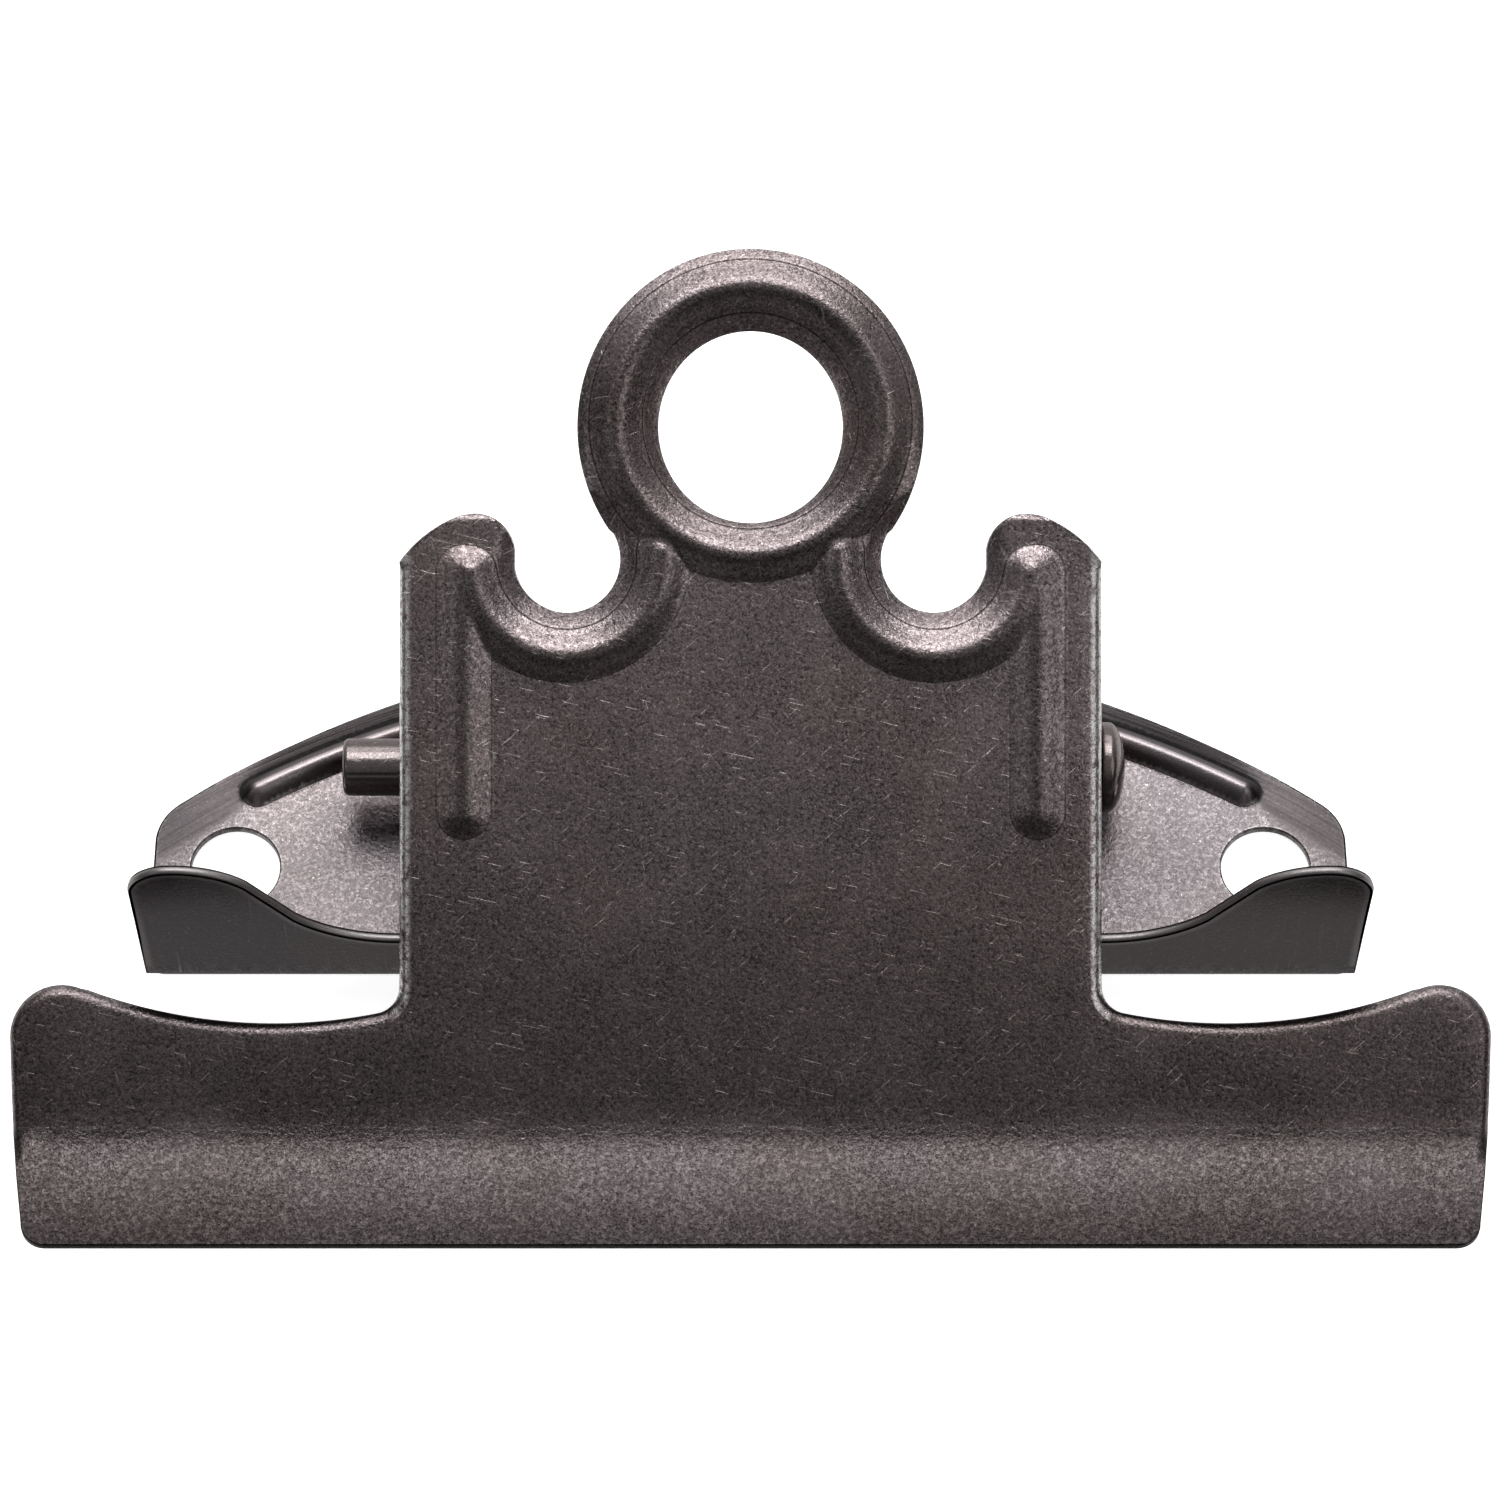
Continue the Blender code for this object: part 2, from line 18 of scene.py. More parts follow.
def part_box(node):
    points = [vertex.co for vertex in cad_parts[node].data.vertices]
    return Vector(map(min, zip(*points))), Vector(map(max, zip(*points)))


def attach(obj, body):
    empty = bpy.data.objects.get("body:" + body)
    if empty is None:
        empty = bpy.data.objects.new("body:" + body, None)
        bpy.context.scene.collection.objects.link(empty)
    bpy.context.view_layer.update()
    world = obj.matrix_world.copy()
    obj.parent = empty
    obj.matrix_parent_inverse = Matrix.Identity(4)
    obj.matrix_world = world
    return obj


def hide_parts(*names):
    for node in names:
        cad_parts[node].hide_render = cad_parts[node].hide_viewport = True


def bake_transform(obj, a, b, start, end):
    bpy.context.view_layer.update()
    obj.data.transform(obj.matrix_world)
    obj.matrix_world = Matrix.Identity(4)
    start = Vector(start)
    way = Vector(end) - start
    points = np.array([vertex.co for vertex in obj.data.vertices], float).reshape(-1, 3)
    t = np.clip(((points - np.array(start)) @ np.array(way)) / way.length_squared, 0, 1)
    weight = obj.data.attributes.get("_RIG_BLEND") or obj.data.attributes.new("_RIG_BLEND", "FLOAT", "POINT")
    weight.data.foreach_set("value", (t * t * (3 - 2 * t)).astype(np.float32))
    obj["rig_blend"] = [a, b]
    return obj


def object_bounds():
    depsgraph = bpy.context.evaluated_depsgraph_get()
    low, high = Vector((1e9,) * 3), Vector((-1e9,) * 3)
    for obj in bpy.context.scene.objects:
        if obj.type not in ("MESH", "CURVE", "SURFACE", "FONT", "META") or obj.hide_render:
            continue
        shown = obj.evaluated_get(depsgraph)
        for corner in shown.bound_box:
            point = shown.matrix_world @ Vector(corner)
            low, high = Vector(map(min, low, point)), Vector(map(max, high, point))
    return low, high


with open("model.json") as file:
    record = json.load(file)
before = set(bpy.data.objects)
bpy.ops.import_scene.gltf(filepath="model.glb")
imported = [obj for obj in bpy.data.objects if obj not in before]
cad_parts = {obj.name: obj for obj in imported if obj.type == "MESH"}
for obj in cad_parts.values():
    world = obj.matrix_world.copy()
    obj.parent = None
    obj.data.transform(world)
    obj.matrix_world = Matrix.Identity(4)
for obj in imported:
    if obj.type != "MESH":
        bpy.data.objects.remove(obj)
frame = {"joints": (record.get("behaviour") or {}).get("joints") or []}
cad_low, cad_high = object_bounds()

MM = 0.001
TINY = 1e-6
SHEET = 1.0  # thickness of both stampings
FOLD = 1.3  # outer radius of a fold, and the width of the band along an edge that folds or droops
LEAN = math.radians(28.0)  # between the two plates with the jaw closed
BURR = 0.42  # radius of a fully eased sheared edge
EASE, JAW_EASE = 0.7, 0.3  # of the lever's edges, as shares of that
BASE_EASE, HOLE_EASE, FLANGE_EASE = 0.5, 0.4, 1.0
PLAIN = 2.0 * FOLD  # distance to a crease or an edge that is given to faces with neither nearby
base_low, base_high = (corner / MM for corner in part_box("base_plate"))
pin_low, pin_high = (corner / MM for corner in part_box("pivot_pin"))
spring_low, spring_high = (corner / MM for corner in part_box("torsion_spring"))
PIN_HEIGHT = frame["joints"][0]["pos_m"][2] / MM

# Lever plate
FACE = 12.0  # from the pin to the front of the plate
COLUMN_HALF = 36.1
COLUMN_TOP = 21.1
EAR_TOP, EAR_FOOT = 19.9, -15.2  # ends of the folded ears
FOLD_FOOT = (-5.0, 1.0)  # above the jaw's bend, where a folded side is flat again, and still folded in full
EAR_HIGH, EAR_LOW = (EAR_TOP, 9.0), (-14.6, 9.7)  # corners of the ears' edge behind the plate, as v and d
EAR_BOSS, EAR_HOLE = 5.2, 3.1  # radii round the pin, of both plates' ears
RING_Y = 35.0
RING_OUTER = (17.9, 18.4)
RING_HOLE = (9.4, 9.8)
NOTCH = (18.9, 21.4)
NOTCH_RADIUS = 5.4
BAR_HALF = 76.15
BAR_DIP = (49.0, -26.3)
BAR_DIP_RADIUS = 55.0
BAR_PEAK = (70.8, -22.35)
BAR_CORNER = 5.35
BAR_FILLET = 2.8
JAW_HALF = (75.8, 74.4)  # at the bend and at the lip's edge
JAW_BEND = -37.4
LIP_LENGTH = 12.3
LIP_CORNER = 2.5

# Pressed beads of the lever plate: half width, height, and how crisp the feet are
RING_BEAD = (2.75, 1.65, 0.45)
HOOK_BEAD = (2.75, 1.4, 0.4)
RIB_BEAD = (2.85, 1.05, 0.4)
OUTER_SLOPE, OUTER_REACH = 0.5, 2.2  # of the sheet outside the ring's bead
OUTER_START = (-10.0, -2.0)  # from the bead's centre, where the outside starts to slope, and slopes in full
INNER_SLOPE, INNER_REACH = 0.85, 2.0  # of the sheet between a bead and the notch or hole that it goes round
RING_BEAD_Y = 35.6
RING_BEAD_RADIUS = 13.85
HOOK_BEAD_RADIUS = 9.95
HOOK_BEAD_ENDS = (-8.0, -184.0)  # degrees round the notch
RIB_X = 29.45
RIB_ENDS = (20.0, -4.6)
RIM_DROOP = math.radians(18.0)  # of the sheet's edge round the ring, inside it and in the notches
DROOP_FADE = 3.0  # width beyond the notch's middle over which the droop fades
GROOVE = 0.78  # width of the hollow behind a bead, as a share of the bead's
MERGE = 8.0  # how sharply beads join where they cross

# Base plate
BASE_HALF = base_high.x
BASE_TOP = base_high.y
BASE_TOP_RADIUS = 103.0
BASE_CORNER = ((60.3, -0.75), (61.9, -2.6), (62.55, -4.8))
MOUNT_HOLE = (54.0, -8.2)
MOUNT_HOLE_RADIUS = 4.65
BASE_RIB = (1.9, 1.4, 0.75)  # half width, height, and how crisp the feet are
BASE_GROOVE = (1.25, 0.75, 0.75)  # behind the rib
BASE_RIB_TOP = 14.3
BASE_RIB_RADIUS = 107.0
BASE_RIB_END = 52.0
BASE_RIB_CENTRE = (0.0, BASE_RIB_TOP - BASE_RIB_RADIUS)
BASE_RIB_TURN = math.degrees(math.acos(BASE_RIB_END / BASE_RIB_RADIUS))  # where the rib's right end is
BORDER_WIDTH = 3.8
BORDER_DROP = 0.35  # how far the top face falls away outside the rib
BORDER_FADE = 8.0  # length about the rib's ends over which it stops falling away
FLANGE_Y = base_low.y
FLANGE_LOW = 8.8
FLANGE_HIGH = base_high.z
FLANGE_CORNER = 4.6
FLANGE_HOLLOW = (36.2, 13.4)  # where the hollow starts, and its radius
FLANGE_CREST = (58.4, 9.6)  # where the crest ends, and its radius
FLANGE_SLOPE = 50.0
EAR_OUTER = 34.7  # outer face of the base plate's ears
EAR_HALF = 6.5
EAR_ROOT = EAR_OUTER + FOLD - SHEET  # where the ears' bend starts, which is the windows' outer side
WINDOW_NEAR = 21.5  # the windows' inner side

# Pin
PIN_RADIUS = 3.0
PIN_CHAMFER = 0.6
END_RINGS = (1.2, 1.9)  # radii of the mesh's rings in the plain end
HEAD_FACE = 36.5
HEAD_FILLET = (0.3, 0.25)  # along the shank and up the head
HEAD_RIM = 0.9  # thickness of the head at its rim
HEAD_ROUND = 0.35  # radius of the rim's lower edge
PIN_SIDES = 128
SEAM_ANGLE = 134.0
SEAM_DEPTH = 0.09
SEAM_WIDTH = 2.0

# Spring
WIRE = 2.1
WIRE_SIDES = 18
COIL_RADIUS = 4.45
COIL_TURNS = 9.5
COIL_PITCH = 2.3
COIL_STEPS = 40
CUT_LENGTH, CUT_SHARE = 0.15, 0.8  # the eased ends: how long, and their share of the wire's radius
LEG_SHIFT = 0.2 * COIL_PITCH  # of the legs' ends beyond the coil, along the pin
BASE_LEG_END = (11.0, 2.35)  # along y and z in the row's frame
LEVER_LEG_END = (17.5, 9.6)  # along v and d

# Colours
LEVER_TONE = (0.37, 0.312, 0.320, 1.0)
BASE_TONE = (0.195, 0.175, 0.182, 1.0)
PIN_TONE = (0.34, 0.305, 0.31, 1.0)
SPRING_TONE = (0.38, 0.36, 0.36, 1.0)
BROWN = (0.31, 0.25, 0.235, 1.0)
WORN = (0.68, 0.64, 0.64, 1.0)
BEND_Y = -38.6  # where the lip starts, in the row's frame

# Scratches: angle, seed, length, width and the level that the noise must pass
SCRATCHES = ((12.0, 3.0, 3.0, 0.1, 0.74), (74.0, 41.0, 2.0, 0.1, 0.75), (-38.0, 87.0, 2.6, 0.1, 0.74))

# Camera
CAMERA = (-0.26, 2.0, 667.0)  # x, v and d
SENSOR = 36.0
LENS = 153.6

# Studio, in metres
FLOOR_RADIUS = 1.4
SWEEP_RADIUS = 0.9
WALL_HEIGHT = 2.2
FLOOR_SIDES = 72
FLOOR_GAP = 0.0005  # below the clip

# Mesh fineness
FINE = 0.42
COARSE = 2.4
EDGE_STEP = 0.8
WINDOW_STEP = 1.0
EAR_STEP = 1.4
EAR_GAP = 0.6  # kept free beside an ear's edges
EDGE_GAP = 0.45  # kept free beside a blank's bands, as a share of the points' spacing
FOOT_GAP = 0.6 * FINE  # least distance from the points on a bead's foot
FOOT_REACH = 0.7  # how far out from a bead's foot the mesh is fine
FLANGE_REACH = 0.9  # and on either side of the line where the flange's bend starts
ON_FOOT = 0.02
ON_LINE = 0.01


# ---------------------------------------------------------------- outlines


def arc(centre, radii, start, end, steps):
    """Points on an ellipse's arc, with both ends, from start to end in degrees."""
    turns = np.radians(np.linspace(start, end, steps + 1))
    return [(centre[0] + radii[0] * math.cos(t), centre[1] + radii[1] * math.sin(t)) for t in turns]


def round_arc(centre, radius, start, end, steps):
    return arc(centre, (radius, radius), start, end, steps)


def arc_through(a, b, c, steps):
    """Points on the circle through three points, from the first to the last."""
    (ax, ay), (bx, by), (cx, cy) = a, b, c
    twice = 2.0 * (ax * (by - cy) + bx * (cy - ay) + cx * (ay - by))
    sa, sb, sc = ax * ax + ay * ay, bx * bx + by * by, cx * cx + cy * cy
    ox = (sa * (by - cy) + sb * (cy - ay) + sc * (ay - by)) / twice
    oy = (sa * (cx - bx) + sb * (ax - cx) + sc * (bx - ax)) / twice
    start, middle, end = (math.degrees(math.atan2(p[1] - oy, p[0] - ox)) for p in (a, b, c))
    sweep = (end - start) % 360.0
    if (middle - start) % 360.0 > sweep:
        sweep -= 360.0
    return round_arc((ox, oy), math.hypot(ax - ox, ay - oy), start, start + sweep, steps)


def divided(line, step):
    """Points along a line, at most a step apart, without the last."""
    dense = []
    for here, after in zip(line, line[1:]):
        gap = math.dist(here, after)
        if gap > TINY:
            parts = max(1, math.ceil(gap / step - TINY))
            dense += [tuple(np.add(here, np.subtract(after, here) * k / parts)) for k in range(parts)]
    return dense


def loop_of(half):
    """A closed counter-clockwise loop from its right half, which runs from the top centre to the foot."""
    whole = half + [(-x, y) for x, y in reversed(half) if abs(x) > TINY]
    return np.array(divided(whole + whole[:1], EDGE_STEP)[::-1])


def hole_of(centre, radii, steps):
    """A clockwise loop, so that a hole's outward side is the open one."""
    return np.array(arc(centre, radii, 360.0, 0.0, steps)[:-1])


def outward(loop):
    """Unit normals at a loop's points, on the side away from the steel."""
    sides = np.roll(loop, -1, axis=0) - loop
    sides /= np.linalg.norm(sides, axis=1)[:, None]
    normals = np.stack([sides[:, 1], -sides[:, 0]], axis=1)
    both = normals + np.roll(normals, 1, axis=0)
    return both / np.linalg.norm(both, axis=1)[:, None]


def tangent_angle(point, centre, radius, side):
    """The direction in degrees at which a line from a point outside touches a circle."""
    dx, dy = point[0] - centre[0], point[1] - centre[1]
    return math.degrees(math.atan2(dy, dx) + side * math.acos(radius / math.hypot(dx, dy)))


# ---------------------------------------------------------------- plane geometry


def right_half(points):
    """Each point, or its mirror image where it is left of the middle."""
    return np.stack([np.abs(points[:, 0]), points[:, 1]], axis=1)


def segment_distance(points, a, b):
    along = b - a
    share = np.clip((points - a) @ along / max(along @ along, 1e-12), 0.0, 1.0)
    return np.linalg.norm(points - a - share[:, None] * along, axis=1)


def path_distance(points, loop):
    found = np.full(len(points), np.inf)
    for a, b in zip(loop, np.roll(loop, -1, axis=0)):
        found = np.minimum(found, segment_distance(points, a, b))
    return found


def within(points, loops):
    """Whether each point is inside an odd number of the loops."""
    x, y = points[:, 0], points[:, 1]
    inside = np.zeros(len(points), bool)
    for loop in loops:
        for (ax, ay), (bx, by) in zip(loop, np.roll(loop, -1, axis=0)):
            if ay != by:
                crosses = (ay > y) != (by > y)
                inside ^= crosses & (x < (bx - ax) * (y - ay) / (by - ay) + ax)
    return inside


def lattice(low, high, step):
    """A staggered grid of points over a box."""
    rows = np.arange(low[1], high[1], step * math.sqrt(0.75))
    columns = np.arange(low[0], high[0], step)
    grid = []
    for i, y in enumerate(rows):
        shifted = columns + step / 2.0 * (i % 2)
        grid.append(np.stack([shifted, np.full(len(columns), y)], 1))
    return np.concatenate(grid)


def spread(loops, crowded, feet):
    """Points over the area within the loops, with the feet: fine where crowded(points), coarse elsewhere."""
    low, high = loops[0].min(0), loops[0].max(0)
    chosen = [feet]
    for step, wanted in ((COARSE, False), (FINE, True)):
        points = lattice(low, high, step)
        points = points[crowded(points) == wanted]
        points = points[within(points, loops)]
        for loop in loops:
            points = points[path_distance(points, loop) > EDGE_GAP * step]
        chosen.append(points[nearest(points, feet) > FOOT_GAP])
    return np.concatenate(chosen)


def nearest(points, others):
    """How far each point is from the closest of the others."""
    found = np.full(len(points), np.inf)
    for other in others:
        found = np.minimum(found, np.linalg.norm(points - other, axis=1))
    return found


# ---------------------------------------------------------------- sheet steel


class Bend:
    """A blank that is flat at a height above s = line, and turns towards its front below that."""

    def __init__(self, line, level, radius, angle):
        self.line, self.level, self.radius, self.angle = line, level, radius, angle

    def place(self, flat, heights):
        """Where points of the blank go: x, along the plate, and up from it."""
        past = self.line - flat[:, 1]
        turn = np.clip(past / self.radius, 0.0, self.angle)
        rest = np.maximum(past - self.radius * self.angle, 0.0)
        before = np.maximum(-past, 0.0)
        along = self.line + before - self.radius * np.sin(turn) - rest * np.cos(turn)
        up = self.level + self.radius * (1.0 - np.cos(turn)) + rest * np.sin(turn)
        return np.stack([flat[:, 0], along + heights * np.sin(turn), up + heights * np.cos(turn)], axis=1)


class Sheet:
    """A stamping: points on its front with their partners on its back, and the faces between points."""

    def __init__(self):
        self.front, self.back, self.marks, self.faces = [], [], [], []

    def add(self, front, back, crease, edge, burr):
        """Adds points and returns their numbers. Crease and edge are distances to those features."""
        first = len(self.front)
        count = len(front)
        self.front += list(front)
        self.back += list(back)
        marks = np.stack([np.broadcast_to(value, count) for value in (crease, edge, burr)], axis=1)
        self.marks += list(marks)
        return np.arange(first, first + count)

    def fill(self, flat, numbers, loops):
        """Triangles over the area within the loops, each given as places in flat."""
        flat = np.float64(np.float32(flat))  # as the triangulation rounds them
        lines = [(int(a), int(b)) for loop in loops for a, b in zip(loop, np.roll(loop, -1))]
        points = [Vector(point) for point in flat]
        made = delaunay_2d_cdt(points, lines, [], 0, TINY)
        origin = [ids[0] for ids in made[3]]
        triangles = np.array([[origin[i] for i in face] for face in made[2]])
        middles = flat[triangles].mean(axis=1)
        triangles = triangles[within(middles, [flat[loop] for loop in loops])]
        self.faces += [tuple(numbers[triangle]) for triangle in triangles]

    def strip(self, rows, closed):
        """Quads between neighbouring rows of points."""
        pairs = list(zip(rows, rows[1:])) + ([(rows[-1], rows[0])] if closed else [])
        for a, b in pairs:
            for k in range(min(len(a), len(b)) - 1):
                self.faces.append((a[k], a[k + 1], b[k + 1], b[k]))

    def rim(self):
        """The sides that only one face has."""
        sides = {}
        for face in self.faces:
            for a, b in zip(face, face[1:] + face[:1]):
                sides.setdefault((min(a, b), max(a, b)), []).append((a, b))
        return [found[0] for found in sides.values() if len(found) == 1]

    def mesh(self, name, place):
        """The closed solid as an object. place turns points into the row's frame, in millimetres."""
        count = len(self.front)
        rim = self.rim()
        faces = list(self.faces)
        faces += [tuple(count + i for i in reversed(face)) for face in self.faces]
        faces += [(b, a, count + a, count + b) for a, b in rim]
        points = place(np.concatenate([self.front, self.back])) * MM
        data = bpy.data.meshes.new(name)
        data.from_pydata(points.tolist(), [], [tuple(map(int, face)) for face in faces])
        marks = np.concatenate([self.marks, self.marks])
        for column, mark in enumerate(("crease", "edge", "burr")):
            values = data.attributes.new(mark, "FLOAT", "POINT")
            values.data.foreach_set("value", marks[:, column].astype(np.float32))
        work = bmesh.new()
        work.from_mesh(data)
        work.verts.ensure_lookup_table()
        bmesh.ops.recalc_face_normals(work, faces=work.faces)
        weight = work.edges.layers.float.new("bevel_weight_edge")
        burr = work.verts.layers.float["burr"]
        for a, b in rim:
            for i, j in ((a, b), (count + a, count + b)):
                corner = work.edges.get((work.verts[int(i)], work.verts[int(j)]))
                corner[weight] = (corner.verts[0][burr] + corner.verts[1][burr]) / 2.0
        loose = [vert for vert in work.verts if not vert.link_faces]
        bmesh.ops.delete(work, geom=loose, context="VERTS")
        work.to_mesh(data)
        work.free()
        piece = added(name, data)
        round_over(piece)
        return piece


def added(name, data):
    """A new object in the scene."""
    made = bpy.data.objects.new(name, data)
    bpy.context.scene.collection.objects.link(made)
    return made


def round_over(piece):
    """Rounds a stamping's sheared edges and smooths its shading."""
    bevel = piece.modifiers.new("burr", "BEVEL")
    bevel.limit_method = "WEIGHT"
    bevel.width = BURR * MM
    bevel.segments = 3
    bevel.use_clamp_overlap = False
    bpy.context.view_layer.update()
    graph = bpy.context.evaluated_depsgraph_get()
    mesh = bpy.data.meshes.new_from_object(piece.evaluated_get(graph))
    piece.modifiers.clear()
    piece.data = mesh
    mesh.shade_smooth()
    mesh.set_sharp_from_angle(angle=math.radians(50.0))


def fold_profile(fold):
    """Stations of a folded edge: distance out from the band's start, height, and the front's tilt."""
    curved = 0.91  # share of the path that is an arc; the rest is straight
    reach = curved * np.sinc(fold / math.pi) + (1.0 - curved) * math.cos(fold)
    length = FOLD / reach
    shares = np.array([0.0, 0.25, 0.5, 0.75, 1.0]) * curved
    tilts = fold * shares / curved
    out = length * shares * np.sinc(tilts / 2.0 / math.pi) * np.cos(tilts / 2.0)
    drop = length * shares * np.sinc(tilts / 2.0 / math.pi) * np.sin(tilts / 2.0)
    tail = length * (1.0 - curved)
    out = np.append(out, out[-1] + tail * math.cos(fold))
    drop = np.append(drop, drop[-1] + tail * math.sin(fold))
    return out, -drop, np.append(tilts, fold)


def folded_band(sheet, bend, loop, folds, press, burr):
    """The band along one edge of a blank. Returns the rows of points' numbers and the band's inner loop."""
    normals = outward(loop)
    inner = loop - normals * FOLD
    rows = []
    for start, normal, fold, rounding in zip(inner, normals, folds, np.broadcast_to(burr, len(loop))):
        out, height, tilt = fold_profile(fold)
        flat = start + out[:, None] * normal
        front, back, crease = press(start + np.minimum(out, FOLD)[:, None] * normal)
        under = out - SHEET * np.sin(tilt)
        flat_back = start + under[:, None] * normal
        top = bend.place(flat, height + front)
        low = bend.place(flat_back, height - SHEET * np.cos(tilt) + back)
        rows.append(sheet.add(top, low, crease, FOLD - out, rounding))
    return rows, inner


def blank(sheet, bend, loops, folds, press, burrs, feet, crowded):
    """Fills a blank: a band along each edge and the area inside the bands. Returns each band's rows."""
    bands = []
    inner_loops = []
    for loop, fold, burr in zip(loops, folds, burrs):
        rows, inner = folded_band(sheet, bend, loop, fold, press, burr)
        sheet.strip(rows, closed=True)
        bands.append(rows)
        inner_loops.append(inner)
    inside = spread(inner_loops, crowded, feet)
    front, back, crease = press(inside)
    edge = FOLD + np.min([path_distance(inside, loop) for loop in inner_loops], axis=0)
    top = bend.place(inside, front)
    low = bend.place(inside, back - SHEET)
    made = sheet.add(top, low, crease, edge, 0.0)
    numbers = np.concatenate([[row[0] for row in rows] for rows in bands] + [made])
    starts = np.cumsum([0] + [len(loop) for loop in inner_loops])
    rings = [np.arange(a, b) for a, b in zip(starts, starts[1:])]
    sheet.fill(np.concatenate(inner_loops + [inside]), numbers, rings)
    return bands


def ear_patch(sheet, root, border, centre, face, burr):
    """The flat part of an ear at x = face: from its root's points to its border, round the pin hole."""
    top = np.array([sheet.front[i][1:] for i in root])
    hole = hole_of(centre, (EAR_HOLE, EAR_HOLE), 40)
    outline = np.concatenate([top, border])
    inner = lattice(outline.min(0), outline.max(0), EAR_STEP)
    inner = inner[within(inner, [outline, hole])]
    for loop in (outline, hole):
        inner = inner[path_distance(inner, loop) > EAR_GAP]
    fresh = np.concatenate([border, hole, inner])
    outer_face = np.full((len(fresh), 1), face)
    inner_face = outer_face - math.copysign(SHEET, face)
    made = sheet.add(np.hstack([outer_face, fresh]), np.hstack([inner_face, fresh]), PLAIN, PLAIN, burr)
    rings = [np.arange(len(outline)), np.arange(len(outline), len(outline) + len(hole))]
    sheet.fill(np.concatenate([top, fresh]), np.concatenate([root, made]), rings)


# ---------------------------------------------------------------- pressed beads


def bead_height(distance, half, height, crisp):
    """A bead's section: part arc, so that its feet show as lines, and part cosine."""
    share = np.clip(distance / half, 0.0, 1.0)
    return height * (crisp * (1.0 - share**2) + (1.0 - crisp) * np.cos(share * math.pi / 2.0) ** 2)


def arc_distance(points, centre, radius, start, end):
    """Distance to an arc that runs from start to end, in degrees, the short way about its middle."""
    offset = points - centre
    angle = np.degrees(np.arctan2(offset[:, 1], offset[:, 0]))
    middle, half = (start + end) / 2.0, abs(end - start) / 2.0
    away = np.abs((angle - middle + 180.0) % 360.0 - 180.0)
    on_arc = np.abs(np.linalg.norm(offset, axis=1) - radius)
    ends = np.array(round_arc(centre, radius, start, end, 1))
    off_arc = np.minimum(*(np.linalg.norm(points - end, axis=1) for end in ends))
    return np.where(away <= half, on_arc, off_arc)


def lever_beads(points):
    """Distance from each point to the middle of each pressed bead, with the bead's section."""
    half = right_half(points)
    ring = np.abs(np.linalg.norm(points - (0.0, RING_BEAD_Y), axis=1) - RING_BEAD_RADIUS)
    hook = arc_distance(half, NOTCH, HOOK_BEAD_RADIUS, *HOOK_BEAD_ENDS)
    rib = segment_distance(half, np.array([RIB_X, RIB_ENDS[0]]), np.array([RIB_X, RIB_ENDS[1]]))
    return [(ring, *RING_BEAD), (hook, *HOOK_BEAD), (rib, *RIB_BEAD)]


def rim_sag(points):
    """How far the rims of the ring, its hole and the notches slope back from the beads' feet."""
    ring = np.linalg.norm(points - (0.0, RING_BEAD_Y), axis=1)
    notch = np.linalg.norm(right_half(points) - NOTCH, axis=1)
    start, full = OUTER_START
    clear = np.clip((points[:, 1] - RING_BEAD_Y - start) / (full - start), 0.0, 1.0)
    outside = np.clip((ring - RING_BEAD_RADIUS - RING_BEAD[0]) * clear, 0.0, OUTER_REACH)
    in_hole = np.clip(RING_BEAD_RADIUS - RING_BEAD[0] - ring, 0.0, INNER_REACH)
    in_notch = np.clip(HOOK_BEAD_RADIUS - HOOK_BEAD[0] - notch, 0.0, INNER_REACH)
    return OUTER_SLOPE * outside + INNER_SLOPE * (in_hole + in_notch)


def merged(beads):
    """The height of several beads where they run into each other."""
    return sum(bead_height(*bead) ** MERGE for bead in beads) ** (1.0 / MERGE)


def press_lever(points):
    """Heights pressed into the lever's front and back, and the distance to the beads' feet."""
    beads = lever_beads(points)
    grooves = [(away, half * GROOVE, *shape) for away, half, *shape in beads]
    crease = np.min([away - half for away, half, *_ in beads], axis=0)
    sag = rim_sag(points)
    return merged(beads) - sag, merged(grooves) - sag, crease


def lever_feet():
    """Points along the feet of the lever's beads, where the mesh follows the crease."""
    high, low = ((RIB_X, end) for end in RIB_ENDS)
    half = RIB_BEAD[0]
    rings = []
    beside = []
    for side in (-1, 1):
        rings.append(round_arc((0.0, RING_BEAD_Y), RING_BEAD_RADIUS + side * RING_BEAD[0], 0, 360, 250))
        beside.append(round_arc(NOTCH, HOOK_BEAD_RADIUS + side * HOOK_BEAD[0], *HOOK_BEAD_ENDS, 75))
    for side in (-1, 1):
        beside.append([(RIB_X + side * half, v) for v in np.linspace(*RIB_ENDS, 60)])
    beside += [round_arc(high, half, 0.0, 180.0, 20), round_arc(low, half, 180.0, 360.0, 20)]
    points = np.concatenate(beside + [np.array(line) * (-1.0, 1.0) for line in beside] + rings)
    return thinned(points[np.abs(press_lever(points)[2]) < ON_FOOT])


def near_lever_bead(points):
    return press_lever(points)[2] < FOOT_REACH


def thinned(points):
    """Drops each point that is too close to one before it."""
    kept = []
    for point in points:
        if not kept or np.linalg.norm(np.array(kept) - point, axis=1).min() > FOOT_GAP:
            kept.append(point)
    return np.array(kept)


# ---------------------------------------------------------------- lever plate


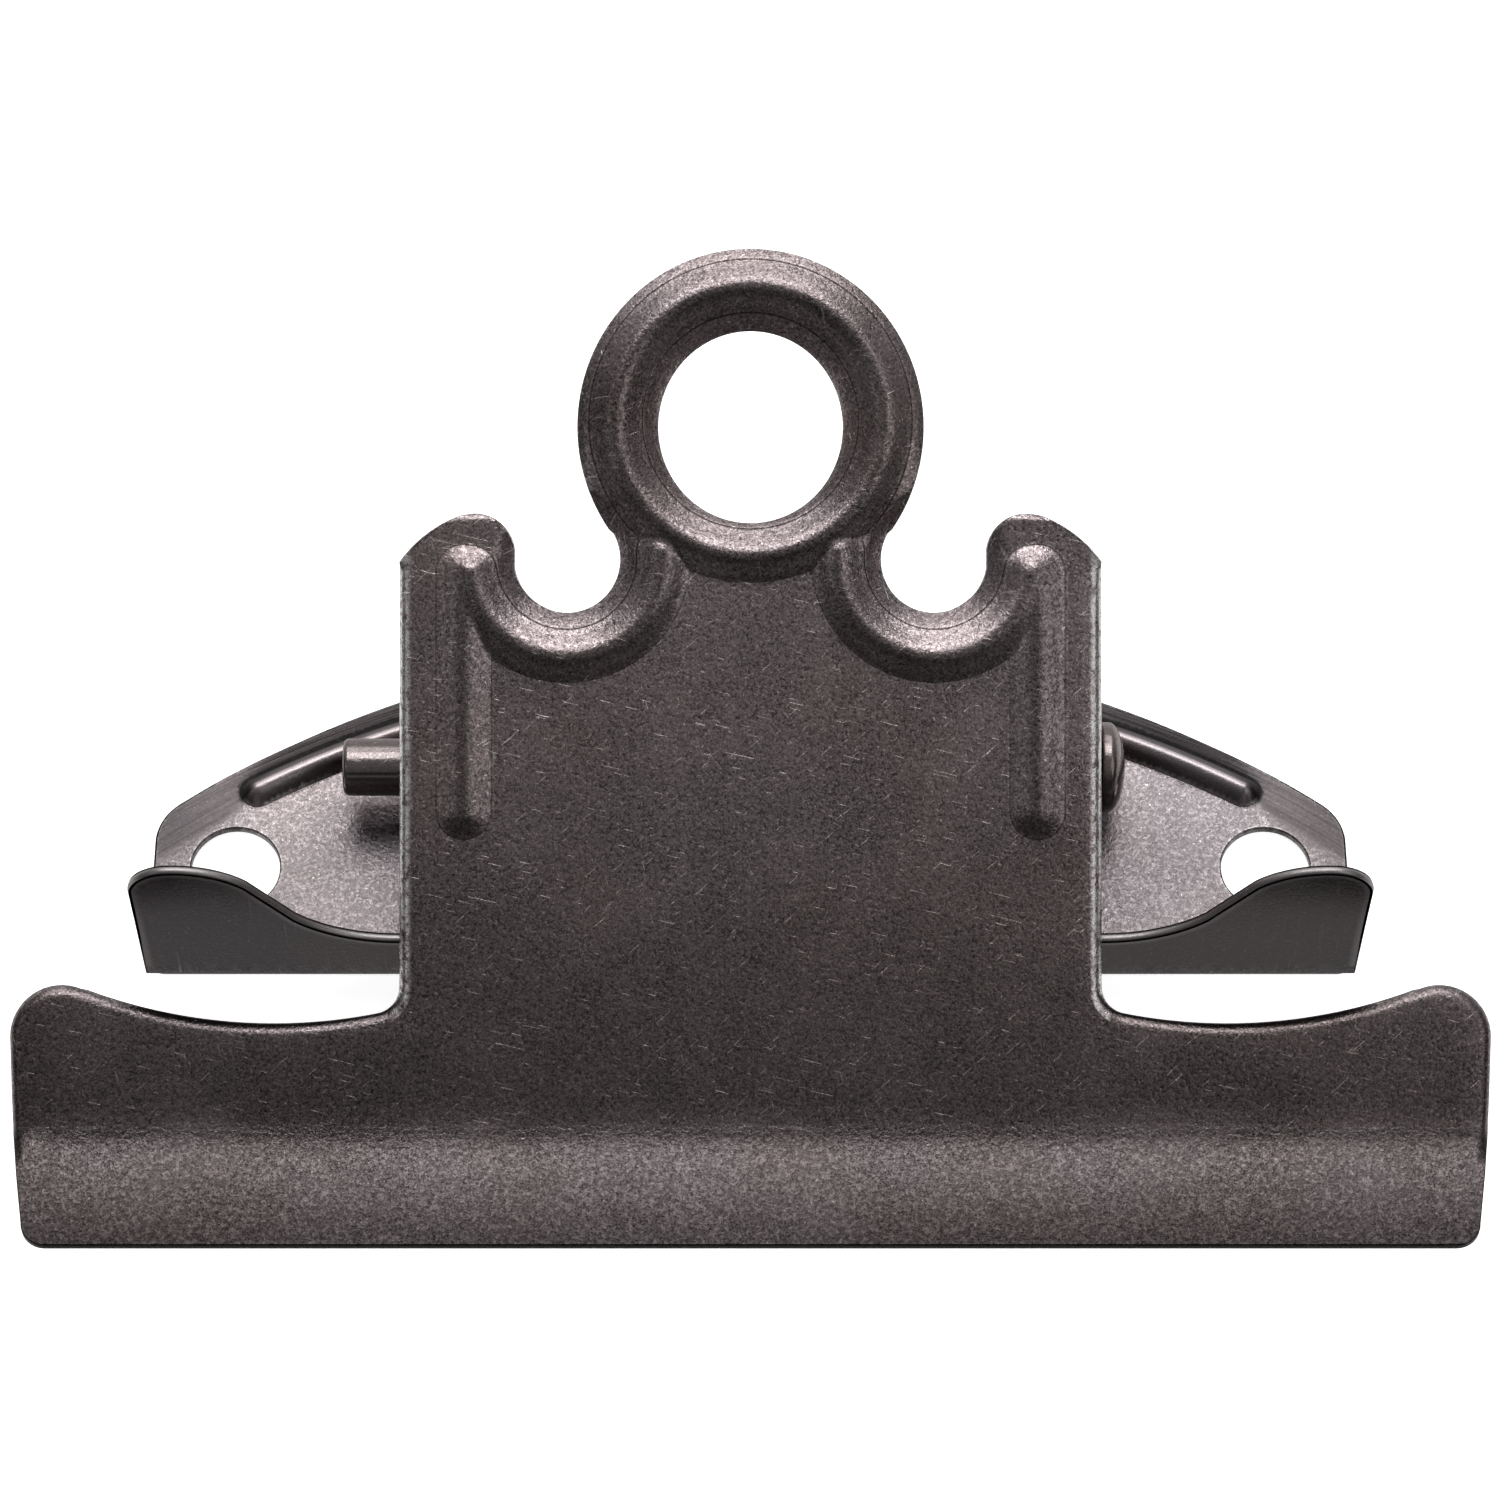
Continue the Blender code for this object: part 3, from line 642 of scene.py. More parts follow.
def bar_edge():
    """The upper edge of the right half of the jaw bar, from the column to the bar's end."""
    centre = (BAR_DIP[0], BAR_DIP[1] + BAR_DIP_RADIUS)
    reach = BAR_DIP_RADIUS - BAR_FILLET
    across = COLUMN_HALF + BAR_FILLET - centre[0]
    fillet_centre = (COLUMN_HALF + BAR_FILLET, centre[1] - math.sqrt(reach * reach - across * across))
    touch = math.degrees(math.atan2(fillet_centre[1] - centre[1], across))
    corner = (BAR_HALF - BAR_CORNER, BAR_PEAK[1] - BAR_CORNER)
    lift = math.degrees(math.atan2(corner[1] - centre[1], corner[0] - centre[0]))
    points = round_arc(fillet_centre, BAR_FILLET, 180.0, 360.0 + touch, 10)
    points += round_arc(centre, BAR_DIP_RADIUS, touch, lift, 40)[1:-1]
    return points + round_arc(corner, BAR_CORNER, 112.0, 0.0, 16)


def lever_half(foot):
    """The right half of the lever's blank, from the top of the ring to the lip's edge at s = foot."""
    points = arc((0.0, RING_Y), RING_OUTER, 90.0, -35.0, 56)
    points += round_arc(NOTCH, NOTCH_RADIUS, 145.0, 350.0, 34)[1:]
    points += arc_through((24.2, 22.3), (25.5, 25.0), (28.6, 26.1), 10)
    points += arc_through((29.8, 25.9), (33.4, 23.9), (COLUMN_HALF, COLUMN_TOP), 11)
    points += [(COLUMN_HALF, EAR_TOP + 0.4), (COLUMN_HALF, EAR_TOP), (COLUMN_HALF, EAR_FOOT)]
    points += bar_edge()
    points += [(JAW_HALF[0] + 0.15, -34.0), (JAW_HALF[0], JAW_BEND)]
    corner = (JAW_HALF[1] - LIP_CORNER, foot + LIP_CORNER)
    return points + round_arc(corner, LIP_CORNER, 0.0, -90.0, 8) + [(0.0, foot)]


def lever_folds(loop):
    """How far each point of the edge is folded back, in radians."""
    x, s = np.abs(loop[:, 0]), loop[:, 1]
    column = (x > COLUMN_HALF - ON_LINE) & (s < COLUMN_TOP + ON_LINE)
    start = np.clip((COLUMN_TOP - s) / (COLUMN_TOP - EAR_TOP), 0.0, 1.0)
    low, high = FOLD_FOOT
    finish = np.clip((s - JAW_BEND - low) / (high - low), 0.0, 1.0)
    full = np.radians(90.0) * np.minimum(start, finish) ** 1.5
    round_top = (x < NOTCH[0] + NOTCH_RADIUS) & (s > NOTCH[1] - NOTCH_RADIUS - 0.5)
    droop = RIM_DROOP * np.clip((NOTCH[0] + DROOP_FADE - x) / DROOP_FADE, 0.0, 1.0)
    return np.where(column, full, np.where(round_top, droop, 0.0))


def lever_ear(sheet, root, side):
    """One folded ear, which hangs from the root's points and carries the pin."""
    start = tangent_angle(EAR_HIGH, (0.0, 0.0), EAR_BOSS, -1.0)
    end = tangent_angle(EAR_LOW, (0.0, 0.0), EAR_BOSS, 1.0) - 360.0
    edge = [EAR_HIGH] + round_arc((0.0, 0.0), EAR_BOSS, start, end, 26) + [EAR_LOW]
    border = np.array(divided(edge, EDGE_STEP) + [EAR_LOW])
    ear_patch(sheet, root, border, (0.0, 0.0), side * COLUMN_HALF, EASE)


def lever_to_row(points):
    """From the lever's frame to the row's."""
    x, v, d = points.T
    along = v * math.cos(LEAN) - d * math.sin(LEAN)
    up = PIN_HEIGHT + v * math.sin(LEAN) + d * math.cos(LEAN)
    return np.stack([x, along, up], axis=1)


def lever_plate():
    line = JAW_BEND + FOLD * math.tan(LEAN / 2.0)
    bend = Bend(line, FACE, FOLD, LEAN)
    foot = line - FOLD * LEAN - LIP_LENGTH
    outer = loop_of(lever_half(foot))
    ring_hole = hole_of((0.0, RING_Y), RING_HOLE, 110)
    x, s = outer.T
    on_jaw = (s < BAR_PEAK[1] - BAR_CORNER) & (np.abs(x) > COLUMN_HALF + 2.0 * BAR_FILLET)
    burrs = [np.where(on_jaw | (s < JAW_BEND), JAW_EASE, EASE), EASE]
    folds = [lever_folds(outer), np.full(len(ring_hole), RIM_DROOP)]
    sheet = Sheet()
    bands = blank(sheet, bend, [outer, ring_hole], folds, press_lever, burrs, lever_feet(), near_lever_bead)
    for side in (-1.0, 1.0):
        beside = np.abs(x - side * COLUMN_HALF) < ON_LINE
        chosen = np.nonzero(beside & (s < EAR_TOP + ON_LINE) & (s > EAR_FOOT - ON_LINE))[0]
        chosen = sorted(chosen, key=lambda i: s[i])
        lever_ear(sheet, np.array([bands[0][i][-1] for i in chosen]), side)
    return sheet.mesh("lever_stamping", lever_to_row)


# ---------------------------------------------------------------- base plate


def base_bend():
    """The blank's front is the plate's upper face, and it turns up into the flange."""
    return Bend(FLANGE_Y + FOLD, SHEET, FOLD - SHEET, math.pi / 2.0)


def flange_s(height):
    """Where a height on the flange lies on the blank."""
    return FLANGE_Y + FOLD - (FOLD - SHEET) * math.pi / 2.0 - (height - FOLD)


def flange_top():
    """The right half of the flange's free edge, from its end to the middle, as (x, height)."""
    hollow_x, hollow_radius = FLANGE_HOLLOW
    crest_x, crest_radius = FLANGE_CREST
    slope_end = 90.0 + FLANGE_SLOPE
    corner = (BASE_HALF - FLANGE_CORNER, FLANGE_HIGH - FLANGE_CORNER)
    points = round_arc(corner, FLANGE_CORNER, 0.0, 90.0, 12)
    points += round_arc((crest_x, FLANGE_HIGH - crest_radius), crest_radius, 90.0, slope_end, 14)[1:]
    hollow = (hollow_x, FLANGE_LOW + hollow_radius)
    return points + round_arc(hollow, hollow_radius, 270.0 + FLANGE_SLOPE, 270.0, 16) + [(0.0, FLANGE_LOW)]


def base_half():
    """The right half of the base's blank, from the middle of the arched edge to the flange's free edge."""
    centre = (0.0, BASE_TOP - BASE_TOP_RADIUS)
    end = math.degrees(math.acos(BASE_CORNER[0][0] / BASE_TOP_RADIUS))
    points = round_arc(centre, BASE_TOP_RADIUS, 90.0, end, 70)
    points += arc_through(*BASE_CORNER, 10)[1:]
    return points + [(x, flange_s(height)) for x, height in flange_top()]


def rib_distance(points):
    """Distance to the middle of the rib, and how far outside it a point is."""
    away = arc_distance(points, BASE_RIB_CENTRE, BASE_RIB_RADIUS, BASE_RIB_TURN, 180.0 - BASE_RIB_TURN)
    return away, np.linalg.norm(points - BASE_RIB_CENTRE, axis=1) - BASE_RIB_RADIUS


def press_base(points):
    """Heights pressed into the base plate's upper and lower face, and the distance to the rib's feet."""
    away, outside = rib_distance(points)
    on_plate = points[:, 1] > FLANGE_Y + FOLD
    shade = np.clip(outside / BORDER_WIDTH, 0.0, 1.0) * on_plate
    ends = np.clip((BASE_RIB_END + BORDER_FADE / 2.0 - np.abs(points[:, 0])) / BORDER_FADE, 0.0, 1.0)
    drop = BORDER_DROP * shade * shade * (3.0 - 2.0 * shade) * ends
    top = bead_height(away, *BASE_RIB)
    low = bead_height(away, *BASE_GROOVE)
    return top - drop, low, away - BASE_RIB[0]


def base_feet():
    """Points along the feet of the base plate's rib."""
    start, half = BASE_RIB_TURN, BASE_RIB[0]
    radii = (BASE_RIB_RADIUS - half, BASE_RIB_RADIUS + half)
    lines = [round_arc(BASE_RIB_CENTRE, radius, start, 180.0 - start, 240) for radius in radii]
    tip = round_arc(BASE_RIB_CENTRE, BASE_RIB_RADIUS, start, start, 1)[0]
    cap = round_arc(tip, half, start - 90.0, start + 90.0, 14)[1:-1]
    lines += [cap, [(-x, y) for x, y in cap]]
    return thinned(np.concatenate(lines))


def near_base_crease(points):
    """Whether each point is by the rib or by the flange's bend."""
    return (press_base(points)[2] < FOOT_REACH) | (np.abs(points[:, 1] - FLANGE_Y - FOLD) < FLANGE_REACH)


def base_ear(sheet, hinge, side):
    """One ear, bent up at the hinge, which is a window's outer edge."""
    across = [sheet.front[i][1] for i in hinge]
    rows = [hinge]
    for turn in np.radians(np.linspace(0.0, 90.0, 6)[1:]):
        faces = []
        for reach in (FOLD - SHEET, FOLD):
            out, up = side * (EAR_ROOT - reach * math.sin(turn)), FOLD - reach * math.cos(turn)
            faces.append([(out, y, up) for y in across])
        rows.append(sheet.add(*faces, PLAIN, PLAIN, BASE_EASE))
    sheet.strip(rows, closed=False)
    centre = (0.0, PIN_HEIGHT)
    start = tangent_angle((EAR_HALF, FOLD), centre, EAR_BOSS, 1.0)
    border = np.array(round_arc(centre, EAR_BOSS, start, 180.0 - start, 30))
    ear_patch(sheet, rows[-1], border, centre, side * EAR_OUTER, BASE_EASE)


def base_plate():
    outer = loop_of(base_half())
    loops = [outer]
    for side in (-1.0, 1.0):
        loops.append(hole_of((side * MOUNT_HOLE[0], MOUNT_HOLE[1]), (MOUNT_HOLE_RADIUS,) * 2, 56))
    for side in (-1.0, 1.0):
        left, right = sorted((side * WINDOW_NEAR, side * EAR_ROOT))
        corners = [(left, EAR_HALF), (right, EAR_HALF), (right, -EAR_HALF), (left, -EAR_HALF)]
        loops.append(np.array(divided(corners + corners[:1], WINDOW_STEP)))
    free_edge = outer[:, 1] < flange_s(FLANGE_LOW) + 1.0
    burrs = [np.where(free_edge, FLANGE_EASE, BASE_EASE)] + [HOLE_EASE] * (len(loops) - 1)
    folds = [np.zeros(len(loop)) for loop in loops]
    sheet = Sheet()
    bands = blank(sheet, base_bend(), loops, folds, press_base, burrs, base_feet(), near_base_crease)
    for side, loop, rows in zip((-1.0, 1.0), loops[-2:], bands[-2:]):
        hinge = [i for i in range(len(loop)) if abs(loop[i][0] - side * EAR_ROOT) < ON_LINE]
        hinge.sort(key=lambda i: loop[i][1])
        base_ear(sheet, np.array([rows[i][-1] for i in hinge]), side)
    return sheet.mesh("base_stamping", lambda points: points)


# ---------------------------------------------------------------- pin and spring


def plain_mesh(name, points, faces):
    """A closed object from points in millimetres."""
    data = bpy.data.meshes.new(name)
    data.from_pydata((np.array(points) * MM).tolist(), [], faces)
    work = bmesh.new()
    work.from_mesh(data)
    bmesh.ops.recalc_face_normals(work, faces=work.faces)
    work.to_mesh(data)
    work.free()
    data.shade_smooth()
    data.set_sharp_from_angle(angle=math.radians(38.0))
    return added(name, data)


def ring_faces(rings, count):
    """Quads between neighbouring rings, each of so many points."""
    faces = []
    for k in range(rings - 1):
        for i in range(count):
            j = (i + 1) % count
            faces.append((k * count + i, k * count + j, (k + 1) * count + j, (k + 1) * count + i))
    return faces


def rings_mesh(name, rings):
    """Joins rings of points, each with as many points, and closes the first and the last."""
    count = len(rings[0])
    points = [point for ring in rings for point in ring]
    faces = ring_faces(len(rings), count)
    faces.append(tuple(range(count)))
    faces.append(tuple((len(rings) - 1) * count + i for i in range(count)))
    return plain_mesh(name, points, faces)


def pivot_pin():
    """The turned pin: a chamfered end, a shank with a drawn seam, and a domed head."""
    head_radius = (pin_high.z - pin_low.z) / 2.0
    left, right = pin_low.x, pin_high.x
    profile = [(left, radius) for radius in END_RINGS]
    profile += round_arc((left + PIN_CHAMFER, PIN_RADIUS - PIN_CHAMFER), PIN_CHAMFER, 180.0, 90.0, 6)
    shank = np.linspace(left + 2.0 * PIN_CHAMFER, HEAD_FACE - HEAD_FILLET[0], 24)
    profile += [(x, PIN_RADIUS) for x in shank]
    profile += [(HEAD_FACE, PIN_RADIUS + HEAD_FILLET[1]), (HEAD_FACE, head_radius - 0.5)]
    profile += round_arc((HEAD_FACE + HEAD_ROUND, head_radius - HEAD_ROUND), HEAD_ROUND, 180.0, 90.0, 5)
    skirt = HEAD_FACE + HEAD_RIM
    profile += arc((skirt, 0.0), (right - skirt, head_radius), 90.0, 8.0, 14)
    rings = []
    for x, radius in profile:
        on_shank = left + PIN_CHAMFER / 3.0 < x < HEAD_FACE
        ring = []
        for turn in np.linspace(0.0, 360.0, PIN_SIDES, endpoint=False):
            seam = SEAM_DEPTH * math.exp(-(((turn - SEAM_ANGLE) / SEAM_WIDTH) ** 2)) * on_shank
            reach = radius - seam
            turned = math.radians(turn)
            ring.append((x, reach * math.cos(turned), PIN_HEIGHT + reach * math.sin(turned)))
        rings.append(ring)
    return rings_mesh("turned_pin", rings)


def spring_line():
    """The wire's centre line about the pin: base leg, coil, lever leg."""
    half = COIL_TURNS * COIL_PITCH / 2.0
    base_end = (-half - LEG_SHIFT, BASE_LEG_END[0], BASE_LEG_END[1] - PIN_HEIGHT)
    v, d = LEVER_LEG_END
    across = v * math.cos(LEAN) - d * math.sin(LEAN)
    lever_end = (half + LEG_SHIFT, across, v * math.sin(LEAN) + d * math.cos(LEAN))
    first = math.radians(tangent_angle(base_end[1:], (0.0, 0.0), COIL_RADIUS, -1.0))
    last = math.radians(tangent_angle(lever_end[1:], (0.0, 0.0), COIL_RADIUS, 1.0))
    sweep = -(first - last) % (2.0 * math.pi) - 2.0 * math.pi * math.ceil(COIL_TURNS)
    steps = round(abs(sweep) / (2.0 * math.pi) * COIL_STEPS)
    share = np.linspace(0.0, 1.0, steps + 1)
    turns = first + sweep * share
    coil = np.stack([half * (2.0 * share - 1.0), COIL_RADIUS * np.cos(turns), COIL_RADIUS * np.sin(turns)], 1)
    legs = [np.linspace(base_end, coil[0], 12)[:-1], np.linspace(coil[-1], lever_end, 16)[1:]]
    return np.concatenate([legs[0], coil, legs[1]]) + (0.0, 0.0, PIN_HEIGHT)


def torsion_spring():
    """Round wire along the spring's line, with its cut ends eased."""
    line = spring_line()
    ahead = np.gradient(line, axis=0)
    ahead /= np.linalg.norm(ahead, axis=1)[:, None]
    side = np.cross(ahead[0], (1.0, 0.0, 0.0))
    rings = []
    angles = np.linspace(0.0, 2.0 * math.pi, WIRE_SIDES, endpoint=False)
    radii = np.full(len(line), WIRE / 2.0)
    radii[[0, -1]] *= CUT_SHARE
    line[0] -= ahead[0] * CUT_LENGTH
    line[-1] += ahead[-1] * CUT_LENGTH
    for place, forward, radius in zip(line, ahead, radii):
        side -= forward * (side @ forward)
        side /= np.linalg.norm(side)
        other = np.cross(forward, side)
        rings.append([place + radius * (math.cos(a) * side + math.sin(a) * other) for a in angles])
    return rings_mesh("spring_wire", rings)


# ---------------------------------------------------------------- materials


class Nodes:
    """Short calls that add nodes to a tree."""

    def __init__(self, tree):
        self.tree = tree

    def put(self, socket, value):
        if isinstance(value, bpy.types.NodeSocket):
            self.tree.links.new(value, socket)
        else:
            socket.default_value = value

    def node(self, kind, inputs, **settings):
        """A new node, with values or links for its inputs."""
        made = self.tree.nodes.new(kind)
        for setting, value in settings.items():
            setattr(made, setting, value)
        for key, value in inputs.items():
            self.put(made.inputs[key], value)
        return made

    def coordinate(self, name):
        return self.tree.nodes.new("ShaderNodeTexCoord").outputs[name]

    def split(self, vector):
        return self.node("ShaderNodeSeparateXYZ", {0: vector}).outputs

    def math(self, operation, a, b=0.0):
        return self.node("ShaderNodeMath", {0: a, 1: b}, operation=operation).outputs[0]

    def times(self, *values):
        total = values[0]
        for value in values[1:]:
            total = self.math("MULTIPLY", total, value)
        return total

    def add(self, *values):
        total = values[0]
        for value in values[1:]:
            total = self.math("ADD", total, value)
        return total

    def minus(self, a, b):
        return self.math("SUBTRACT", a, b)

    def larger(self, a, b):
        return self.math("MAXIMUM", a, b)

    def absolute(self, value):
        return self.math("ABSOLUTE", value)

    def vector(self, operation, a, b=(0.0, 0.0, 0.0)):
        return self.node("ShaderNodeVectorMath", {0: a, 1: b}, operation=operation).outputs[0]

    def scaled(self, vector, scale):
        return self.node("ShaderNodeVectorMath", {0: vector, "Scale": scale}, operation="SCALE").outputs[0]

    def fit(self, value, low, high, new_low=0.0, new_high=1.0):
        """A value's low to high, eased onto a new range and held there."""
        inputs = {"Value": value, "From Min": low, "From Max": high, "To Min": new_low, "To Max": new_high}
        return self.node("ShaderNodeMapRange", inputs, interpolation_type="SMOOTHSTEP").outputs[0]


class Nickel(Nodes):
    """Blackened nickel on steel: mottled grain, clouds of tarnish, flecks and hairline marks.

    The shade multiplies its colour, the rub says how far it is worn bright, the relief is its height for the
    bump, and the matt is added to its roughness. Lengths in its nodes are millimetres.
    """

    def __init__(self, name, tone, roughness, grain=1.0, wear=1.0, bump=0.5, brown=0.45):
        self.material = bpy.data.materials.new(name)
        self.material.use_nodes = True
        super().__init__(self.material.node_tree)
        self.place = self.scaled(self.coordinate("Object"), 1.0 / MM)
        self.tone, self.roughness, self.wear, self.bump, self.brown = tone, roughness, wear, bump, brown
        self.matt = 0.0
        self.mottle = self.fit(self.noise(2.3, 3.0, 0.65), 0.34, 0.66)
        self.cloud = self.fit(self.noise(0.09, 2.0, 0.6), 0.3, 0.7)
        pepper = self.fit(self.noise(5.5, 1.0, 0.5), 0.3, 0.7)
        thread = self.noise(2.8, 2.0, 0.6, self.moved(17.0))
        self.thread = self.fit(self.absolute(self.minus(thread, 0.5)), 0.0, 0.03, 1.0, 0.0)
        flecks = self.fit(self.noise(3.0, 1.0, 0.6, self.moved(7.0)), 0.66, 0.74)
        lines = self.math("MINIMUM", self.add(*(self.scratches(*line) for line in SCRATCHES)), 1.0)
        self.shade = self.add(
            self.centred(self.mottle, 0.62 * grain),
            self.centred(pepper, 0.85 * grain),
            self.centred(self.cloud, 0.2),
            self.times(self.thread, 0.08 * grain),
            self.times(flecks, 1.1 * wear),
            self.times(lines, 2.6 * wear),
            0.95,
        )
        self.relief = self.add(self.mottle, self.times(lines, -0.8))
        self.rub = self.times(flecks, 0.2)

    def noise(self, scale, detail, roughness, place=None):
        inputs = {"Vector": place or self.place, "Scale": scale, "Detail": detail, "Roughness": roughness}
        return self.node("ShaderNodeTexNoise", inputs).outputs[0]

    def mark(self, name):
        """A measure that the mesh's points carry."""
        return self.node("ShaderNodeAttribute", {}, attribute_name=name).outputs["Fac"]

    def moved(self, offset, size=(1.0, 1.0, 1.0), angle=0.0):
        """The place turned about Z by an angle in degrees, stretched by sizes in millimetres, then moved."""
        inputs = {"Vector": self.place, "Angle": math.radians(angle)}
        turned = self.node("ShaderNodeVectorRotate", inputs, rotation_type="Z_AXIS").outputs[0]
        stretched = self.vector("MULTIPLY", turned, tuple(1.0 / length for length in size))
        return self.vector("ADD", stretched, (offset, offset * 1.7, 0.0))

    def scratches(self, angle, offset, length, width, least):
        """Fine marks at one angle: noise stretched along them, where it passes a high level."""
        place = self.moved(offset, (length, width, 8.0), angle)
        return self.fit(self.noise(1.0, 1.0, 0.4, place), least, least + 0.05)

    def centred(self, value, amount):
        """A value from 0 to 1 as a change of up to half the amount either way."""
        return self.times(self.minus(value, 0.5), amount)

    def calmed(self, value, middle, share):
        """A value brought towards the middle, so that only a share of its change is left."""
        return self.add(self.times(self.minus(value, middle), share), middle)

    def mix(self, share, first, second):
        blend = self.tree.nodes.new("ShaderNodeMix")
        blend.data_type = "RGBA"
        self.put(blend.inputs["Factor"], share)
        for socket, value in zip([s for s in blend.inputs if s.type == "RGBA"], (first, second)):
            self.put(socket, value)
        return [s for s in blend.outputs if s.type == "RGBA"][0]

    def press(self, lines=0.4):
        """Adds the die's lines, the darkened recesses beside them, and the rubbed edges and crests, with
        painted shade on the beads' crests and a painted highlight just outside their feet.
        """
        crease, edge = self.mark("crease"), self.mark("edge")
        patch = self.fit(self.noise(1.3, 3.0, 0.7), 0.4, 0.62)
        line = self.fit(self.absolute(crease), 0.03, 0.12, 1.0, 0.0)
        # Painted highlight: a thin bright line just outside each bead's foot.
        painted_glint = self.fit(self.absolute(self.minus(crease, 0.2)), 0.02, 0.1, 1.0, 0.0)
        crest = self.fit(crease, -2.6, -1.6, 1.0, 0.0)
        rim = self.fit(edge, 0.05, 0.5, 1.0, 0.0)
        inked = self.minus(1.0, self.times(line, self.fit(edge, 2.0, 2.5, 0.75, lines)))
        # Painted shade: the beads' crests are darkened by up to a third.
        painted_crest_shading = self.fit(crease, -2.7, -1.5, 0.66, 1.0)
        self.shade = self.add(self.times(self.shade, inked, painted_crest_shading), self.times(painted_glint, patch, 0.4))
        self.relief = self.add(self.relief, self.times(line, -1.2))
        self.wear_off(self.times(rim, patch, self.wear))
        self.wear_off(self.times(crest, patch, 0.06 * self.wear))

    def wear_off(self, share):
        self.rub = self.larger(self.rub, share)

    def finished(self):
        """Connects what the finish has gathered to its shader, and returns the material."""
        shader = self.tree.nodes["Principled BSDF"]
        tarnish = self.times(self.fit(self.noise(0.05, 1.0, 0.5), 0.35, 0.65), self.brown)
        colour = self.mix(self.times(self.rub, 0.8), self.mix(tarnish, self.tone, BROWN), WORN)
        rough = self.add(
            self.centred(self.mottle, -0.10),
            self.centred(self.cloud, 0.06),
            self.times(self.rub, -0.08),
            self.matt,
            self.roughness,
        )
        bump = {"Strength": self.bump, "Distance": 0.04 * MM, "Height": self.relief}
        self.put(shader.inputs["Metallic"], 1.0)
        self.put(shader.inputs["Base Color"], self.scaled(colour, self.shade))
        self.put(shader.inputs["Roughness"], rough)
        self.put(shader.inputs["Normal"], self.node("ShaderNodeBump", bump).outputs[0])
        return self.material


def plain_nickel(name, tone, roughness, wear, bump):
    """The turned and drawn parts' finish, with no pressed marks."""
    return Nickel(name, tone, roughness, grain=wear, wear=wear, bump=bump).finished()


def lever_nickel():
    """Painted shade: darker on the jaw bar and darker again over the lip, most at its edge. Rubbed along its
    bend, and the column's folds worn and given a painted highlight.
    """
    nickel = Nickel("lever_nickel", LEVER_TONE, 0.275)
    nickel.press()
    x, across, _ = nickel.split(nickel.place)
    # Painted shade: the plate darkens towards the jaw bar, and the lip is held far darker than the plate,
    # most at its edge.
    plate_painted_shade = nickel.fit(across, BEND_Y - 4.0, 6.0, 0.52, 1.06)
    lip_painted_shade = nickel.fit(across, BEND_Y - 14.0, BEND_Y - 1.0, 0.09, 0.26)
    on_lip = nickel.fit(across, BEND_Y - 0.5, BEND_Y + 0.5, 1.0, 0.0)
    on_plate = nickel.minus(1.0, on_lip)
    grained = nickel.add(nickel.shade, nickel.times(nickel.thread, on_lip, 0.3))
    painted_shading = nickel.add(nickel.times(lip_painted_shade, on_lip), nickel.times(plate_painted_shade, on_plate))
    nickel.shade = nickel.times(grained, painted_shading)
    nickel.rub = nickel.times(nickel.rub, nickel.fit(on_plate, 0.0, 1.0, 0.35, 1.0))
    scuff = nickel.fit(nickel.absolute(nickel.minus(across, BEND_Y)), 0.1, 0.9, 1.0, 0.0)
    streaks = nickel.fit(nickel.noise(1.0, 2.0, 0.6, nickel.moved(5.0, (3.0, 0.25, 1.0))), 0.48, 0.62)
    nickel.wear_off(nickel.times(scuff, streaks, 0.6))
    folds = fold_wear_and_highlight(nickel, nickel.absolute(x), across)
    nickel.wear_off(folds)
    # Painted highlight: the worn folds are also brightened well past the worn colour.
    nickel.shade = nickel.add(nickel.shade, nickel.times(folds, 1.4))
    return nickel.finished()


def fold_wear_and_highlight(nickel, beside, across):
    """How far the folds along the column's sides are worn; the lever also brightens them by this as a painted
    highlight.
    """
    inner = COLUMN_HALF - FOLD
    return nickel.times(
        nickel.fit(beside, inner - 0.2, inner + 0.6),
        nickel.fit(beside, COLUMN_HALF + 0.5, COLUMN_HALF + 1.0, 1.0, 0.0),
        nickel.fit(across, BEND_Y + 6.0, BEND_Y + 9.0),
        nickel.fit(nickel.mark("edge"), FOLD - 0.1, FOLD + 0.1, 1.0, 0.0),
        nickel.fit(nickel.noise(1.2, 3.0, 0.7), 0.3, 0.6),
    )


def base_border(nickel, x, y):
    """Where the border outside the base plate's rib is, and how much its streaks darken it."""
    from_centre = {"X": x, "Y": nickel.minus(y, BASE_RIB_CENTRE[1])}
    from_centre = nickel.node("ShaderNodeCombineXYZ", from_centre).outputs[0]
    reach = nickel.node("ShaderNodeVectorMath", {0: from_centre}, operation="LENGTH").outputs["Value"]
    outside = nickel.minus(reach, BASE_RIB_RADIUS)
    past_rib = nickel.fit(nickel.absolute(x), BASE_RIB_END - 2.0, BASE_RIB_END + 4.0)
    border = nickel.fit(nickel.add(outside, nickel.times(past_rib, 2.4)), -0.3, 1.8)
    drawn = {"X": nickel.times(x, 0.05), "Y": nickel.times(outside, 3.2)}
    streak = nickel.noise(1.0, 2.0, 0.6, nickel.node("ShaderNodeCombineXYZ", drawn).outputs[0])
    streak = nickel.fit(streak, 0.35, 0.65, 0.82, 1.0)
    return border, nickel.times(border, nickel.fit(past_rib, 0.0, 1.0, 0.9, 0.7), streak)


